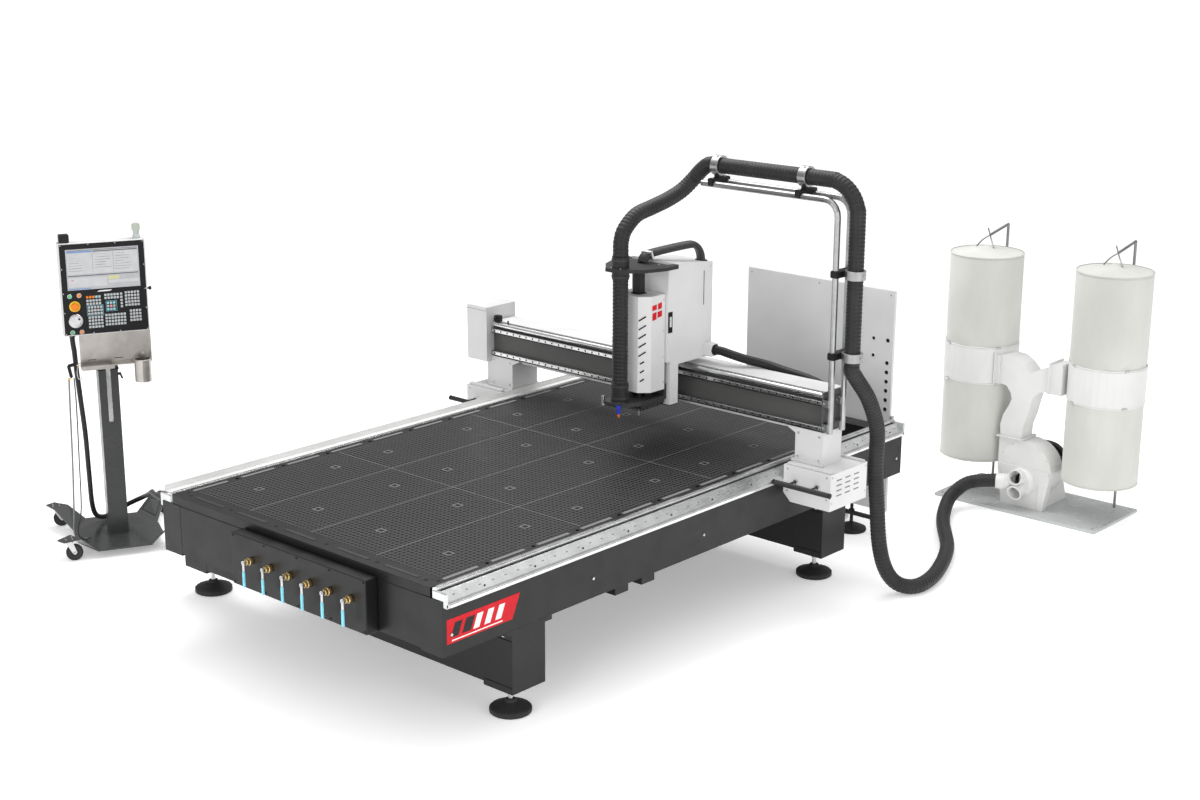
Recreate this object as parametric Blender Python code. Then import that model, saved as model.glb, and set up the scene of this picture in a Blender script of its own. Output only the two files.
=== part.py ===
"""Gantry CNC router with its control pendant, dust collector and hoses, as separate named pieces.

Frame: metres, +Z up, +X to the machine's right, +Y to its rear, with the origin on the floor under the
middle of everything's footprint. Sizes below are drawn from the middle of the table, which stands at
-ROW_ORIGIN. The gantry runs along Y, the saddle along X and the spindle head along Z.
"""
import math

import bmesh
import bpy
from mathutils import Matrix, Vector

GAP = 0.0003                 # clearance between pieces that rest on each other
ROW_ORIGIN = Vector((-0.6239, 0.7928, 0.0))    # seen from the middle of the table

# Table and welded frame
TABLE_TOP = 0.85
FRAME_HALF_WIDTH = 1.107
FRAME_HALF_LENGTH = 1.955
BEAM_BOTTOM = 0.515
BEAM_TOP = 0.80
SIDE_BEAM_WIDTH = 0.155
BORDER_INNER = 0.955         # half width of the opening that holds the vacuum bed
BORDER_OUTER = 1.020
BED_FRONT = -1.83
BED_REAR = 1.37
BED_SEAMS_X = (-0.5, 0.0, 0.5)
BED_SEAMS_Y = (-0.83, 0.251)
SEAM_WIDTH = 0.006
SEAM_DEPTH = 0.004

# Leg frames and levelling feet
LEG_BOTTOM = 0.165
LEG_WIDTH = 0.20
LEG_DEPTH = 0.235
LEG_RIGHT_EDGE = 1.10
LEG_LEFT_EDGE = -1.60        # the left legs stand outboard of the frame
LEG_FRAME_FRONTS = {"front": -1.488, "rear": 1.137}
FOOT_RADIUS = 0.11

# Gantry, at its rest place along Y
CARRIAGE_FRONT = 0.69
CARRIAGE_REAR = 1.05
CARRIAGE_INNER = 1.131
CARRIAGE_OUTER = 1.455
CARRIAGE_BOTTOM = 0.655
CARRIAGE_TOP = 0.87
BEAM_FRONT = 0.80
BEAM_REAR = 1.00
GANTRY_BEAM_BOTTOM = 1.07
GANTRY_BEAM_TOP = 1.30
BEAM_HALF_LENGTH = 1.32
PEDESTAL_FRONT = 0.79
BUMPER_Z = 0.785
BUMPER_FRONT = 0.585

# Hose, mast and clamps
HOSE_RADIUS = 0.042
FLOOR_HOSE_Z = HOSE_RADIUS + 0.003
CLAMP_BORE = 0.047
CLAMP_OUTER = 0.056
CLAMP_WIDTH = 0.05
MAST_X = 1.36
MAST_FRONT = 0.80
MAST_REAR = 0.92
MAST_Y = (MAST_FRONT + MAST_REAR) / 2
MAST_TOP = 2.39
MAST_TUBE_RADIUS = 0.018
ARM_END = 0.41
HOSE_ARM_Z = 2.492
HOSE_DOWN_X = 1.45
CLAMP_ARM_X = (0.485, 1.10)
CLAMP_MAST_Z = (1.52, 1.985)

# Spindle head, at its rest place along X and Z
HEAD_X = 0.24
HEAD_HALF_WIDTH = 0.12
SPINDLE_Y = 0.455
HOSE_DROP_Y = 0.285
COVER_FRONT = 0.365
COVER_REAR = 0.542
COVER_BOTTOM = 1.20
COVER_TOP = 1.77

# Pendant stand: its own upright frame, turned about Z and centred on its column
STAND_PLACE = (-2.690, -1.230)
STAND_TURN = math.radians(64)
COLUMN_HALF = 0.06
COLUMN_TOP = 1.14
PANEL_LOW = 1.385
PANEL_HIGH = 1.957
PANEL_HALF = 0.257
PANEL_FRONT = -0.16
PANEL_REAR = -0.085
CASTER_RADIUS = 0.052
CASTER_TRAIL = 0.03
PAD_LOW = 0.135              # underside of the wings' caster pads
CASTER_PLACES = {
    "front_left": (-0.335, -0.30),
    "front_right": (0.335, -0.30),
    "rear_left": (-0.335, 0.39),
    "rear_right": (0.335, 0.39),
}

# Dust collector
BAG_X = {"left": 0.825, "right": 1.755}
BAG_Y = 3.352
BAG_RADIUS = 0.245
BAG_BOTTOM = 0.265
BAG_TOP = 1.675
RING_LOW = 0.83
RING_HIGH = 1.065
BLOWER_X = 1.285
BLOWER_Z = 0.275
BLOWER_RADIUS = 0.20
BLOWER_FRONT = 3.20
BLOWER_REAR = 3.36
FLANGE_Z = 0.486
PLATE_TOP = 0.02

# Cabinet
CABLE_PLATE_LOW = (-0.20, 2.06, 0.19)
CABLE_PLATE_HIGH = (0.945, 2.08, 1.63)
CABINET_LOW = (-0.15, 2.075, 0.19)
CABINET_HIGH = (0.60, 2.40, 1.48)

# Valve manifold
MANIFOLD_LOW = (-0.40, -2.033, 0.525)
MANIFOLD_HIGH = (0.65, -1.9553, 0.81)
VALVE_Z = 0.69
VALVE_FIRST_X = -0.235
VALVE_PITCH = 0.155
VALVE_COUNT = 6


# ---------------------------------------------------------------- modelling helpers

def clear_scene():
    for item in list(bpy.data.objects):
        bpy.data.objects.remove(item, do_unlink=True)


def paint(name, colour, roughness, metallic=0.0):
    """A Principled material of one colour."""
    material = bpy.data.materials.new(name)
    material.use_nodes = True
    shader = material.node_tree.nodes["Principled BSDF"]
    shader.inputs["Base Color"].default_value = (*colour, 1.0)
    shader.inputs["Roughness"].default_value = roughness
    shader.inputs["Metallic"].default_value = metallic
    return material


def new_object(name, shape, material=None, origin=(0, 0, 0), parent=None):
    """Turn a bmesh drawn in the parent's coordinates into an object whose origin is at `origin`."""
    bmesh.ops.translate(shape, verts=shape.verts, vec=-Vector(origin))
    bmesh.ops.recalc_face_normals(shape, faces=shape.faces)
    mesh = bpy.data.meshes.new(name)
    shape.to_mesh(mesh)
    shape.free()
    item = bpy.data.objects.new(name, mesh)
    bpy.context.scene.collection.objects.link(item)
    item.location = origin if parent else Vector(origin) - ROW_ORIGIN
    item.parent = parent
    if material:
        mesh.materials.append(material)
    return item


def smooth(item, angle=35):
    """Shade a round piece smooth, keeping its edges sharper than `angle` degrees."""
    item.data.shade_smooth()
    item.data.set_sharp_from_angle(angle=math.radians(angle))
    return item


def combine(item, shape, operation, parent=None):
    """Join or cut `item` with a hidden tool drawn in the same coordinates as the item was."""
    tool = new_object(item.name + ".tool", shape, parent=parent)
    tool.hide_render = True
    tool.display_type = "WIRE"
    modifier = item.modifiers.new(operation.lower(), "BOOLEAN")
    modifier.operation = operation
    modifier.solver = "EXACT"
    modifier.object = tool
    return item


def fuse(item, *shapes, parent=None):
    for shape in shapes:
        combine(item, shape, "UNION", parent)
    return item


def cut(item, *shapes, parent=None):
    for shape in shapes:
        combine(item, shape, "DIFFERENCE", parent)
    return item


def block(low, high, bevel=0.0):
    """A box between two corners, with its edges chamfered by `bevel`."""
    shape = bmesh.new()
    bmesh.ops.create_cube(shape, size=1.0)
    size = Vector(high) - Vector(low)
    middle = (Vector(high) + Vector(low)) / 2
    for vert in shape.verts:
        vert.co = Vector(vert.co[i] * size[i] + middle[i] for i in range(3))
    if bevel:
        bmesh.ops.bevel(shape, geom=shape.edges[:], offset=bevel, segments=1, affect="EDGES")
    return shape


def prism(outline, axis, start, end):
    """Extrude a closed outline of the two other axes, in X, Y, Z order, along `axis`."""
    shape = bmesh.new()
    axes = [i for i in range(3) if i != axis]
    rings = []
    for level in (start, end):
        ring = []
        for point in outline:
            place = [0.0, 0.0, 0.0]
            place[axis] = level
            place[axes[0]], place[axes[1]] = point
            ring.append(shape.verts.new(place))
        rings.append(ring)
    count = len(outline)
    shape.faces.new(rings[0])
    shape.faces.new(reversed(rings[1]))
    for i in range(count):
        j = (i + 1) % count
        shape.faces.new((rings[0][i], rings[1][i], rings[1][j], rings[0][j]))
    return shape


def turned(profile, centre=(0, 0, 0), direction=(0, 0, 1), sides=24):
    """Turn (radius, height) points about `direction` through `centre`; the ends are capped."""
    shape = bmesh.new()
    rings = []
    for radius, height in profile:
        ring = []
        for i in range(sides):
            angle = math.tau * (i + 0.5) / sides
            ring.append(shape.verts.new((radius * math.cos(angle), radius * math.sin(angle), height)))
        rings.append(ring)
    for lower, upper in zip(rings, rings[1:]):
        for i in range(sides):
            j = (i + 1) % sides
            shape.faces.new((lower[i], lower[j], upper[j], upper[i]))
    shape.faces.new(reversed(rings[0]))
    shape.faces.new(rings[-1])
    turn = Vector((0, 0, 1)).rotation_difference(Vector(direction)).to_matrix().to_4x4()
    shape.transform(Matrix.Translation(centre) @ turn)
    return shape


def rod(start, end, radius, sides=16):
    """A cylinder between two points."""
    along = Vector(end) - Vector(start)
    return turned([(radius, 0), (radius, along.length)], start, along.normalized(), sides)


def ring(centre, direction, bore, outer, width, sides=24):
    """A closed band with a hole, centred on `centre`."""
    shape = bmesh.new()
    corners = [(bore, -width / 2), (outer, -width / 2), (outer, width / 2), (bore, width / 2)]
    loops = []
    for i in range(sides):
        angle = math.tau * (i + 0.5) / sides
        loops.append([shape.verts.new((r * math.cos(angle), r * math.sin(angle), h)) for r, h in corners])
    for i in range(sides):
        here, there = loops[i], loops[(i + 1) % sides]
        for k in range(4):
            m = (k + 1) % 4
            shape.faces.new((here[k], there[k], there[m], here[m]))
    turn = Vector((0, 0, 1)).rotation_difference(Vector(direction)).to_matrix().to_4x4()
    shape.transform(Matrix.Translation(centre) @ turn)
    return shape


def smooth_path(points, steps):
    """A Catmull-Rom curve through the points, with `steps` spans between each two."""
    points = [Vector(p) for p in points]
    ends = [2 * points[0] - points[1]] + points + [2 * points[-1] - points[-2]]
    path = []
    for a, b, c, d in zip(ends, ends[1:], ends[2:], ends[3:]):
        for i in range(steps):
            t = i / steps
            path.append(0.5 * (2 * b + (c - a) * t + (2 * a - 5 * b + 4 * c - d) * t ** 2
                               + (3 * b - a - 3 * c + d) * t ** 3))
    path.append(points[-1])
    return path


def bend(corner, start, end, radius, steps=5):
    """Points of a round bend of `radius` at `corner`, between the directions to start and end."""
    corner = Vector(corner)
    to_start = (Vector(start) - corner).normalized()
    to_end = (Vector(end) - corner).normalized()
    centre = corner + (to_start + to_end) * radius
    points = []
    for i in range(steps + 1):
        angle = math.pi / 2 * i / steps
        points.append(centre - to_end * radius * math.cos(angle) - to_start * radius * math.sin(angle))
    return points


def tube(path, radius, sides=12):
    """A closed round bar swept along a path without twist."""
    shape = bmesh.new()
    path = [Vector(p) for p in path]
    normal = None
    rings = []
    for i, point in enumerate(path):
        ahead = path[min(i + 1, len(path) - 1)] - path[max(i - 1, 0)]
        ahead.normalize()
        if normal is None:
            normal = ahead.orthogonal().normalized()
        normal = (normal - ahead * normal.dot(ahead)).normalized()
        across = ahead.cross(normal)
        ring_verts = []
        for k in range(sides):
            angle = math.tau * k / sides
            offset = normal * math.cos(angle) + across * math.sin(angle)
            ring_verts.append(shape.verts.new(point + offset * radius))
        rings.append(ring_verts)
    for lower, upper in zip(rings, rings[1:]):
        for k in range(sides):
            m = (k + 1) % sides
            shape.faces.new((lower[k], lower[m], upper[m], upper[k]))
    shape.faces.new(reversed(rings[0]))
    shape.faces.new(rings[-1])
    return shape


# ---------------------------------------------------------------- table and frame

def base_frame(steel):
    """The welded frame: side beams, end beams, cross bearers and the border round the bed."""
    half, length = FRAME_HALF_WIDTH, FRAME_HALF_LENGTH
    inner = half - SIDE_BEAM_WIDTH
    frame = new_object("base_frame", block((inner, -length, BEAM_BOTTOM), (half, length, BEAM_TOP)), steel)
    fuse(frame, block((-half, -length, BEAM_BOTTOM), (-inner, length, BEAM_TOP)))
    end_depth = 0.12
    end_bottom = BEAM_BOTTOM + 0.012
    for low in (-length + 0.001, length - end_depth - 0.001):
        fuse(frame, block((-half + 0.002, low, end_bottom),
                          (half - 0.002, low + end_depth, BEAM_TOP - 0.002)))
    bearer_top = BEAM_TOP - 0.004
    for y in (-1.2, -0.66, -0.12, 0.45, 0.95, 1.40):
        fuse(frame, block((-inner - 0.01, y - 0.04, 0.62), (inner + 0.01, y + 0.04, bearer_top)))
    for y in (-0.658, -0.446):
        fuse(frame, block((-1.09, y - 0.052, 0.465), (1.09, y + 0.052, 0.64)))
    fuse(frame, border_ring())
    return frame


def border_ring():
    """The raised rim round the bed."""
    shape = bmesh.new()
    outer = [(-BORDER_OUTER, -FRAME_HALF_LENGTH + 0.004), (BORDER_OUTER, -FRAME_HALF_LENGTH + 0.004),
             (BORDER_OUTER, BED_REAR + 0.05), (-BORDER_OUTER, BED_REAR + 0.05)]
    inner = [(-BORDER_INNER, BED_FRONT), (BORDER_INNER, BED_FRONT),
             (BORDER_INNER, BED_REAR), (-BORDER_INNER, BED_REAR)]
    levels = (BEAM_TOP - 0.01, TABLE_TOP)
    rings = [[shape.verts.new((x, y, z)) for x, y in loop] for loop in (outer, inner) for z in levels]
    outer_low, outer_high, inner_low, inner_high = rings
    for i in range(4):
        j = (i + 1) % 4
        shape.faces.new((outer_low[i], outer_low[j], outer_high[j], outer_high[i]))
        shape.faces.new((inner_low[j], inner_low[i], inner_high[i], inner_high[j]))
        shape.faces.new((outer_high[i], outer_high[j], inner_high[j], inner_high[i]))
        shape.faces.new((outer_low[j], outer_low[i], inner_low[i], inner_low[j]))
    return shape


def table_bed(phenolic):
    """The vacuum bed, one sheet scored into twelve panels."""
    low = (-BORDER_INNER + GAP, BED_FRONT + GAP, BEAM_TOP + GAP)
    high = (BORDER_INNER - GAP, BED_REAR - GAP, TABLE_TOP)
    bed = new_object("table_bed", block(low, high), phenolic)
    floor = TABLE_TOP - SEAM_DEPTH
    above = TABLE_TOP + 0.02
    for x in BED_SEAMS_X:
        cut(bed, block((x - SEAM_WIDTH / 2, BED_FRONT - 0.1, floor),
                       (x + SEAM_WIDTH / 2, BED_REAR + 0.1, above)))
    for y in BED_SEAMS_Y:
        cut(bed, block((-1.1, y - SEAM_WIDTH / 2, floor), (1.1, y + SEAM_WIDTH / 2, above)))
    return bed


def rail(side, aluminium):
    """The guide rail on one side beam, with its sloped cover on the outside."""
    sign = 1 if side == "right" else -1
    top = TABLE_TOP
    step = top - 0.014
    outline = [(1.030, BEAM_TOP + GAP), (1.030, top), (1.058, top), (1.058, step), (1.078, step),
               (1.122, BEAM_TOP - 0.004), (1.128, BEAM_TOP - 0.014), (1.128, BEAM_TOP - 0.034),
               (FRAME_HALF_WIDTH + GAP, BEAM_TOP - 0.034), (FRAME_HALF_WIDTH + GAP, BEAM_TOP + GAP)]
    outline = [(sign * x, z) for x, z in outline]
    return new_object("rail_" + side, prism(outline, 1, -FRAME_HALF_LENGTH + 0.01,
                                            FRAME_HALF_LENGTH - 0.01), aluminium)


def leg_frame(end, steel):
    """A deep cross beam with a leg at each end and bolting flanges under the side beams."""
    front = LEG_FRAME_FRONTS[end]
    top = BEAM_BOTTOM - GAP
    left, right = LEG_LEFT_EDGE, LEG_RIGHT_EDGE
    beam_back = front + LEG_DEPTH - 0.06
    frame = new_object("leg_frame_" + end, block((left, front, LEG_BOTTOM + 0.02),
                                                 (right, beam_back, top - 0.06)), steel)
    for x in (left, right - LEG_WIDTH):
        leg_top = top - 0.055 if x == left else top - 0.01
        fuse(frame, block((x - 0.002, front - 0.001, LEG_BOTTOM),
                          (x + LEG_WIDTH + 0.002, front + LEG_DEPTH, leg_top)))
    for sign in (-1, 1):
        near, far = sorted((sign * 0.87, sign * FRAME_HALF_WIDTH))
        fuse(frame, block((near, front - 0.045, top - 0.024), (far, front + LEG_DEPTH + 0.045, top)))
    fuse(frame, block((-1.10, front + 0.01, top - 0.07), (-0.90, front + LEG_DEPTH, top - 0.012)))
    return frame


def levelling_foot(name, x, y, rubber):
    """A screw-in foot: dished pad, cone, lock nut and stem."""
    profile = [(FOOT_RADIUS - 0.008, 0), (FOOT_RADIUS, 0.006), (FOOT_RADIUS, 0.026),
               (FOOT_RADIUS - 0.006, 0.032),
               (0.032, 0.058), (0.026, 0.072), (0.013, 0.074), (0.013, 0.118),
               (0.024, 0.120), (0.024, 0.138), (0.013, 0.140), (0.013, LEG_BOTTOM - GAP)]
    return smooth(new_object(name, turned(profile, (x, y, 0), sides=20), rubber))


def feet(rubber):
    for end, front in LEG_FRAME_FRONTS.items():
        y = front + LEG_DEPTH / 2
        levelling_foot("foot_%s_left" % end, LEG_LEFT_EDGE + LEG_WIDTH / 2, y, rubber)
        levelling_foot("foot_%s_right" % end, LEG_RIGHT_EDGE - 0.13, y, rubber)


# ---------------------------------------------------------------- vacuum valves

def manifold_box(steel, bodies):
    """The vacuum plenum on the front apron, open to the apron at its back, with six valve holes."""
    low, high = Vector(MANIFOLD_LOW), Vector(MANIFOLD_HIGH)
    wall = 0.006
    box = new_object("manifold_box", block(low, high, 0.004), steel)
    cut(box, block(low + Vector((wall, wall, wall)), (high.x - wall, high.y + 0.05, high.z - wall)))
    for x in bodies:
        cut(box, rod((x, low.y - 0.02, VALVE_Z), (x, low.y + 0.02, VALVE_Z), 0.0135))
    return box


def valve_header(brass, bodies):
    """Six ball valves on one pipe: the pipe and branches are inside the box, the valves outside."""
    front = MANIFOLD_LOW[1]
    pipe_y = front + 0.045
    pipe = rod((bodies[0] - 0.05, pipe_y, VALVE_Z), (bodies[-1] + 0.05, pipe_y, VALVE_Z), 0.014, 12)
    header = new_object("valve_header", pipe, brass)
    for x in bodies:
        profile = [(0.012, -0.052), (0.012, 0.002), (0.021, 0.004), (0.021, 0.018),
                   (0.017, 0.020), (0.017, 0.034), (0.012, 0.036), (0.012, 0.044)]
        fuse(header, turned(profile, (x, front - 0.002, VALVE_Z), (0, -1, 0), 12))
    return header


def valve_lever(number, x, enamel):
    """A flat handle turning on the valve's stem, hanging down when the valve is shut."""
    face = MANIFOLD_LOW[1] - 0.002 - 0.044 - GAP
    hub = rod((x, face, VALVE_Z), (x, face - 0.010, VALVE_Z), 0.013, 12)
    lever = new_object("valve_lever_%d" % number, hub, enamel, (x, face, VALVE_Z))
    outline = [(-0.008, 0.004), (0.008, 0.004), (0.009, -0.125), (0.004, -0.132), (-0.004, -0.132),
               (-0.009, -0.125)]
    outline = [(x + dx, VALVE_Z + dz) for dx, dz in outline]
    fuse(lever, prism(outline, 1, face - 0.008, face - 0.003))
    return lever


# ---------------------------------------------------------------- cabinet

def cabinet(sheet):
    """The electrical cabinet behind its wide cable plate, on a foot bar, and its rear door."""
    low, high = Vector(CABINET_LOW), Vector(CABINET_HIGH)
    wall = 0.015
    body = new_object("cabinet_body", block(CABLE_PLATE_LOW, CABLE_PLATE_HIGH, 0.003), sheet)
    fuse(body, block(low, high, 0.004))
    inside_low = low + Vector((wall, wall, wall))
    cut(body, block(inside_low, (high.x - wall, high.y + 0.05, high.z - wall)))
    hinge = (low.x + 0.006, high.y + GAP, 0.0)
    panel_high = (high.x - 0.006, hinge[1] + 0.022, high.z - 0.006)
    panel = block((hinge[0], hinge[1], low.z + 0.006), panel_high, 0.003)
    door = new_object("cabinet_door", panel, sheet, hinge)
    handle_x = high.x - 0.07
    outside = hinge[1] + 0.022
    handle_high = (handle_x + 0.014, outside + 0.024, 1.00)
    fuse(door, block((handle_x - 0.014, outside - 0.004, 0.86), handle_high, 0.003))
    fuse(body, block((low.x + 0.05, 2.18, 0.145), (high.x - 0.05, 2.28, low.z + 0.005)))
    middle = (low.x + high.x) / 2
    for x in (middle - 0.22, middle + 0.22):
        profile = [(0.082, 0), (0.09, 0.006), (0.09, 0.024), (0.028, 0.052), (0.012, 0.056), (0.012, 0.15)]
        fuse(body, turned(profile, (x, 2.23, 0), sides=20))
    return body


# ---------------------------------------------------------------- gantry

def carriage(side, sheet):
    """A side carriage outside the rail, with the pedestal under the beam; the left one has a drive cover."""
    sign = 1 if side == "right" else -1
    chamfer = 0.05
    outline = [(CARRIAGE_INNER, CARRIAGE_BOTTOM + chamfer), (CARRIAGE_INNER, CARRIAGE_TOP),
               (CARRIAGE_OUTER, CARRIAGE_TOP), (CARRIAGE_OUTER, CARRIAGE_BOTTOM),
               (CARRIAGE_INNER + chamfer, CARRIAGE_BOTTOM)]
    outline = [(sign * x, z) for x, z in outline]
    box = new_object("carriage_" + side, prism(outline, 1, CARRIAGE_FRONT, CARRIAGE_REAR), sheet)
    neck_outer, neck_rear = (1.3265, 0.97) if side == "right" else (1.36, 1.02)
    top = GANTRY_BEAM_BOTTOM - GAP
    neck = [(CARRIAGE_INNER + 0.001, CARRIAGE_TOP - 0.02), (CARRIAGE_INNER + 0.001, top - 0.035),
            (CARRIAGE_INNER - 0.06, top - 0.006), (CARRIAGE_INNER - 0.06, top), (neck_outer, top),
            (neck_outer, CARRIAGE_TOP - 0.02)]
    neck = [(sign * x, z) for x, z in neck]
    fuse(box, prism(neck, 1, PEDESTAL_FRONT, neck_rear))
    if side == "left":
        fuse(box, block((-1.50, 0.745, 1.035), (-BEAM_HALF_LENGTH - GAP, 1.01, 1.395)))
    for x in bumper_pins(side):
        cut(box, rod((x, CARRIAGE_FRONT - 0.02, BUMPER_Z), (x, CARRIAGE_FRONT + 0.12, BUMPER_Z), 0.0085))
    return box


def bumper_pins(side):
    """X of the two guide pins of a bumper bar."""
    sign = 1 if side == "right" else -1
    return [sign * (CARRIAGE_INNER + offset) for offset in (0.09, 0.24)]


def bumper(side, dark):
    """A sprung trip bar in front of the carriage, on two pins that slide into it."""
    sign = 1 if side == "right" else -1
    near, far = sorted((sign * (CARRIAGE_INNER + 0.004), sign * (CARRIAGE_OUTER + 0.055)))
    bar = block((near, BUMPER_FRONT, BUMPER_Z - 0.013), (far, BUMPER_FRONT + 0.026, BUMPER_Z + 0.013),
                0.005)
    item = new_object("bumper_" + side, bar, dark, (0, BUMPER_FRONT, BUMPER_Z))
    for x in bumper_pins(side):
        fuse(item, rod((x, BUMPER_FRONT + 0.013, BUMPER_Z), (x, CARRIAGE_FRONT + 0.06, BUMPER_Z), 0.007))
    return item


def gantry_beam(steel):
    """The cross beam, with a ledge for each linear rail on its front face."""
    low, high = GANTRY_BEAM_BOTTOM, GANTRY_BEAM_TOP
    face = BEAM_FRONT + 0.012
    outline = [(face, low), (face, low + 0.010), (BEAM_FRONT - 0.012, low + 0.010),
               (BEAM_FRONT - 0.012, low + 0.034),
               (face, low + 0.034), (face, high - 0.070), (BEAM_FRONT - 0.012, high - 0.070),
               (BEAM_FRONT - 0.012, high - 0.046), (face, high - 0.046), (face, high - 0.030),
               (BEAM_FRONT, high - 0.026), (BEAM_FRONT - 0.006, high - 0.010), (BEAM_FRONT + 0.004, high),
               (BEAM_REAR, high), (BEAM_REAR, low)]
    return new_object("gantry_beam", prism(outline, 0, -BEAM_HALF_LENGTH, BEAM_HALF_LENGTH), steel)


def hose_mast(steel):
    """Two bent tubes bolted to the right end of the beam, tied together by four hose clamps."""
    foot = GANTRY_BEAM_BOTTOM
    mast = None
    for y in (MAST_FRONT, MAST_REAR):
        corner = (MAST_X, y, MAST_TOP)
        path = [(MAST_X, y, foot)] + bend(corner, (MAST_X, y, foot), (ARM_END, y, MAST_TOP), 0.09)
        path.append((ARM_END, y, MAST_TOP))
        shape = tube(path, MAST_TUBE_RADIUS, 10)
        if mast is None:
            mast = new_object("hose_mast", shape, steel)
        else:
            fuse(mast, shape)
        for z in (foot + 0.015, foot + 0.155):
            fuse(mast, block((BEAM_HALF_LENGTH + GAP, y - 0.024, z), (MAST_X, y + 0.024, z + 0.04)))
    near, far = MAST_FRONT - 0.01, MAST_REAR + 0.01
    for x in CLAMP_ARM_X:
        fuse(mast, block((x - 0.018, near, MAST_TOP - 0.008), (x + 0.018, far, MAST_TOP + 0.030)))
        neck_high = (x + 0.014, MAST_Y + 0.02, HOSE_ARM_Z - 0.050)
        fuse(mast, block((x - 0.014, MAST_Y - 0.02, MAST_TOP + 0.02), neck_high))
        fuse(mast, ring((x, MAST_Y, HOSE_ARM_Z), (1, 0, 0), CLAMP_BORE, CLAMP_OUTER, CLAMP_WIDTH))
    for z in CLAMP_MAST_Z:
        fuse(mast, block((MAST_X - 0.008, near, z - 0.018), (MAST_X + 0.026, far, z + 0.018)))
        neck_high = (HOSE_DOWN_X - 0.050, MAST_Y + 0.02, z + 0.014)
        fuse(mast, block((MAST_X + 0.02, MAST_Y - 0.02, z - 0.014), neck_high))
        fuse(mast, ring((HOSE_DOWN_X, MAST_Y, z), (0, 0, 1), CLAMP_BORE, CLAMP_OUTER, CLAMP_WIDTH))
    return mast


HOSE_OVER_START = (0.44, MAST_Y, HOSE_ARM_Z)
HOSE_OVER_END = (HOSE_DOWN_X, MAST_Y, 1.47)


def hose_over(rubber):
    """The clamped stretch of hose along the mast's arms and down the mast."""
    corner = (HOSE_DOWN_X, MAST_Y, HOSE_ARM_Z)
    path = [HOSE_OVER_START, (0.8, MAST_Y, HOSE_ARM_Z)]
    path += bend(corner, HOSE_OVER_START, HOSE_OVER_END, 0.19, 6)
    path += [(HOSE_DOWN_X, MAST_Y, 1.9), HOSE_OVER_END]
    return smooth(new_object("hose_over", tube(path, HOSE_RADIUS, 14), rubber), 60)


def hose_bridge(rubber):
    """The free loop from the spindle head's collar up to the first clamp."""
    start = Vector((HEAD_X, HOSE_DROP_Y, 2.010 + GAP))
    end = Vector(HOSE_OVER_START) - Vector((GAP, 0, 0))
    points = [start + Vector((0, 0, 0.03)), (0.241, 0.287, 2.095), (0.243, 0.315, 2.160),
              (0.246, 0.410, 2.231), (0.250, 0.540, 2.260), (0.256, 0.668, 2.288), (0.270, 0.785, 2.331),
              (0.305, 0.845, 2.393), (0.350, 0.857, 2.446), (0.393, MAST_Y, 2.481), end - Vector((0.02, 0, 0))]
    path = [start] + smooth_path(points, 3) + [end]
    return smooth(new_object("hose_bridge", tube(path, HOSE_RADIUS, 14), rubber), 60)


def hose_floor(rubber):
    """The trailing loop from the mast down to the floor and along it to the blower inlet."""
    start = Vector(HOSE_OVER_END) - Vector((0, 0, GAP))
    end = Vector(PORT_END) + Vector(PORT_DIRECTION) * GAP
    points = [start - Vector((0, 0, 0.03)), (1.455, 0.91, 1.38), (1.47, 1.02, 1.24), (1.46, 1.13, 1.04),
              (1.44, 1.16, 0.82), (1.435, 1.20, 0.58), (1.455, 1.21, 0.34), (1.475, 1.25, 0.18),
              (1.515, 1.30, 0.085),
              (1.575, 1.36, 0.047), (1.61, 1.47, FLOOR_HOSE_Z), (1.555, 1.72, FLOOR_HOSE_Z),
              (1.385, 2.10, FLOOR_HOSE_Z),
              (1.12, 2.48, FLOOR_HOSE_Z), (0.985, 2.72, 0.055), (0.935, 2.88, 0.10), (0.985, 3.00, 0.17),
              end + Vector(PORT_DIRECTION) * 0.05]
    path = [start] + smooth_path(points, 3) + [end]
    return smooth(new_object("hose_floor", tube(path, HOSE_RADIUS, 14), rubber), 60)


# ---------------------------------------------------------------- saddle and spindle head

def z_saddle(sheet):
    """The tall housing on the beam, with the front plate that hooks down over the rails."""
    outline = [(0.545, 1.36), (0.545, 1.957), (0.95, 1.905), (0.95, 1.335), (0.643, 1.335), (0.643, 1.10),
               (0.570, 1.10), (0.570, 1.36)]
    saddle = new_object("z_saddle", prism(outline, 0, 0.100, 0.380), sheet)
    fuse(saddle, block((0.110, 0.640, 1.105), (0.235, 0.780, 1.34)))
    fuse(saddle, block((0.37, 0.87, 1.345), (0.445, 0.94, 1.42), 0.004))
    return saddle


def spindle_cover(sheet):
    """The sheet metal hood over the spindle motor, open at its foot and back."""
    half, corner, wall = HEAD_HALF_WIDTH, 0.055, 0.005

    def outline(inset, back):
        return [(HEAD_X - half + inset, back), (HEAD_X - half + inset, COVER_FRONT + corner),
                (HEAD_X - half + corner, COVER_FRONT + inset),
                (HEAD_X + half - corner, COVER_FRONT + inset),
                (HEAD_X + half - inset, COVER_FRONT + corner), (HEAD_X + half - inset, back)]

    origin = (HEAD_X, SPINDLE_Y, COVER_BOTTOM)
    hood = prism(outline(0, COVER_REAR), 2, COVER_BOTTOM, COVER_TOP)
    cover = new_object("spindle_cover", hood, sheet, origin)
    cut(cover, prism(outline(wall, COVER_REAR + 0.02), 2, COVER_BOTTOM - 0.05, COVER_TOP - wall))
    return cover


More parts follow.
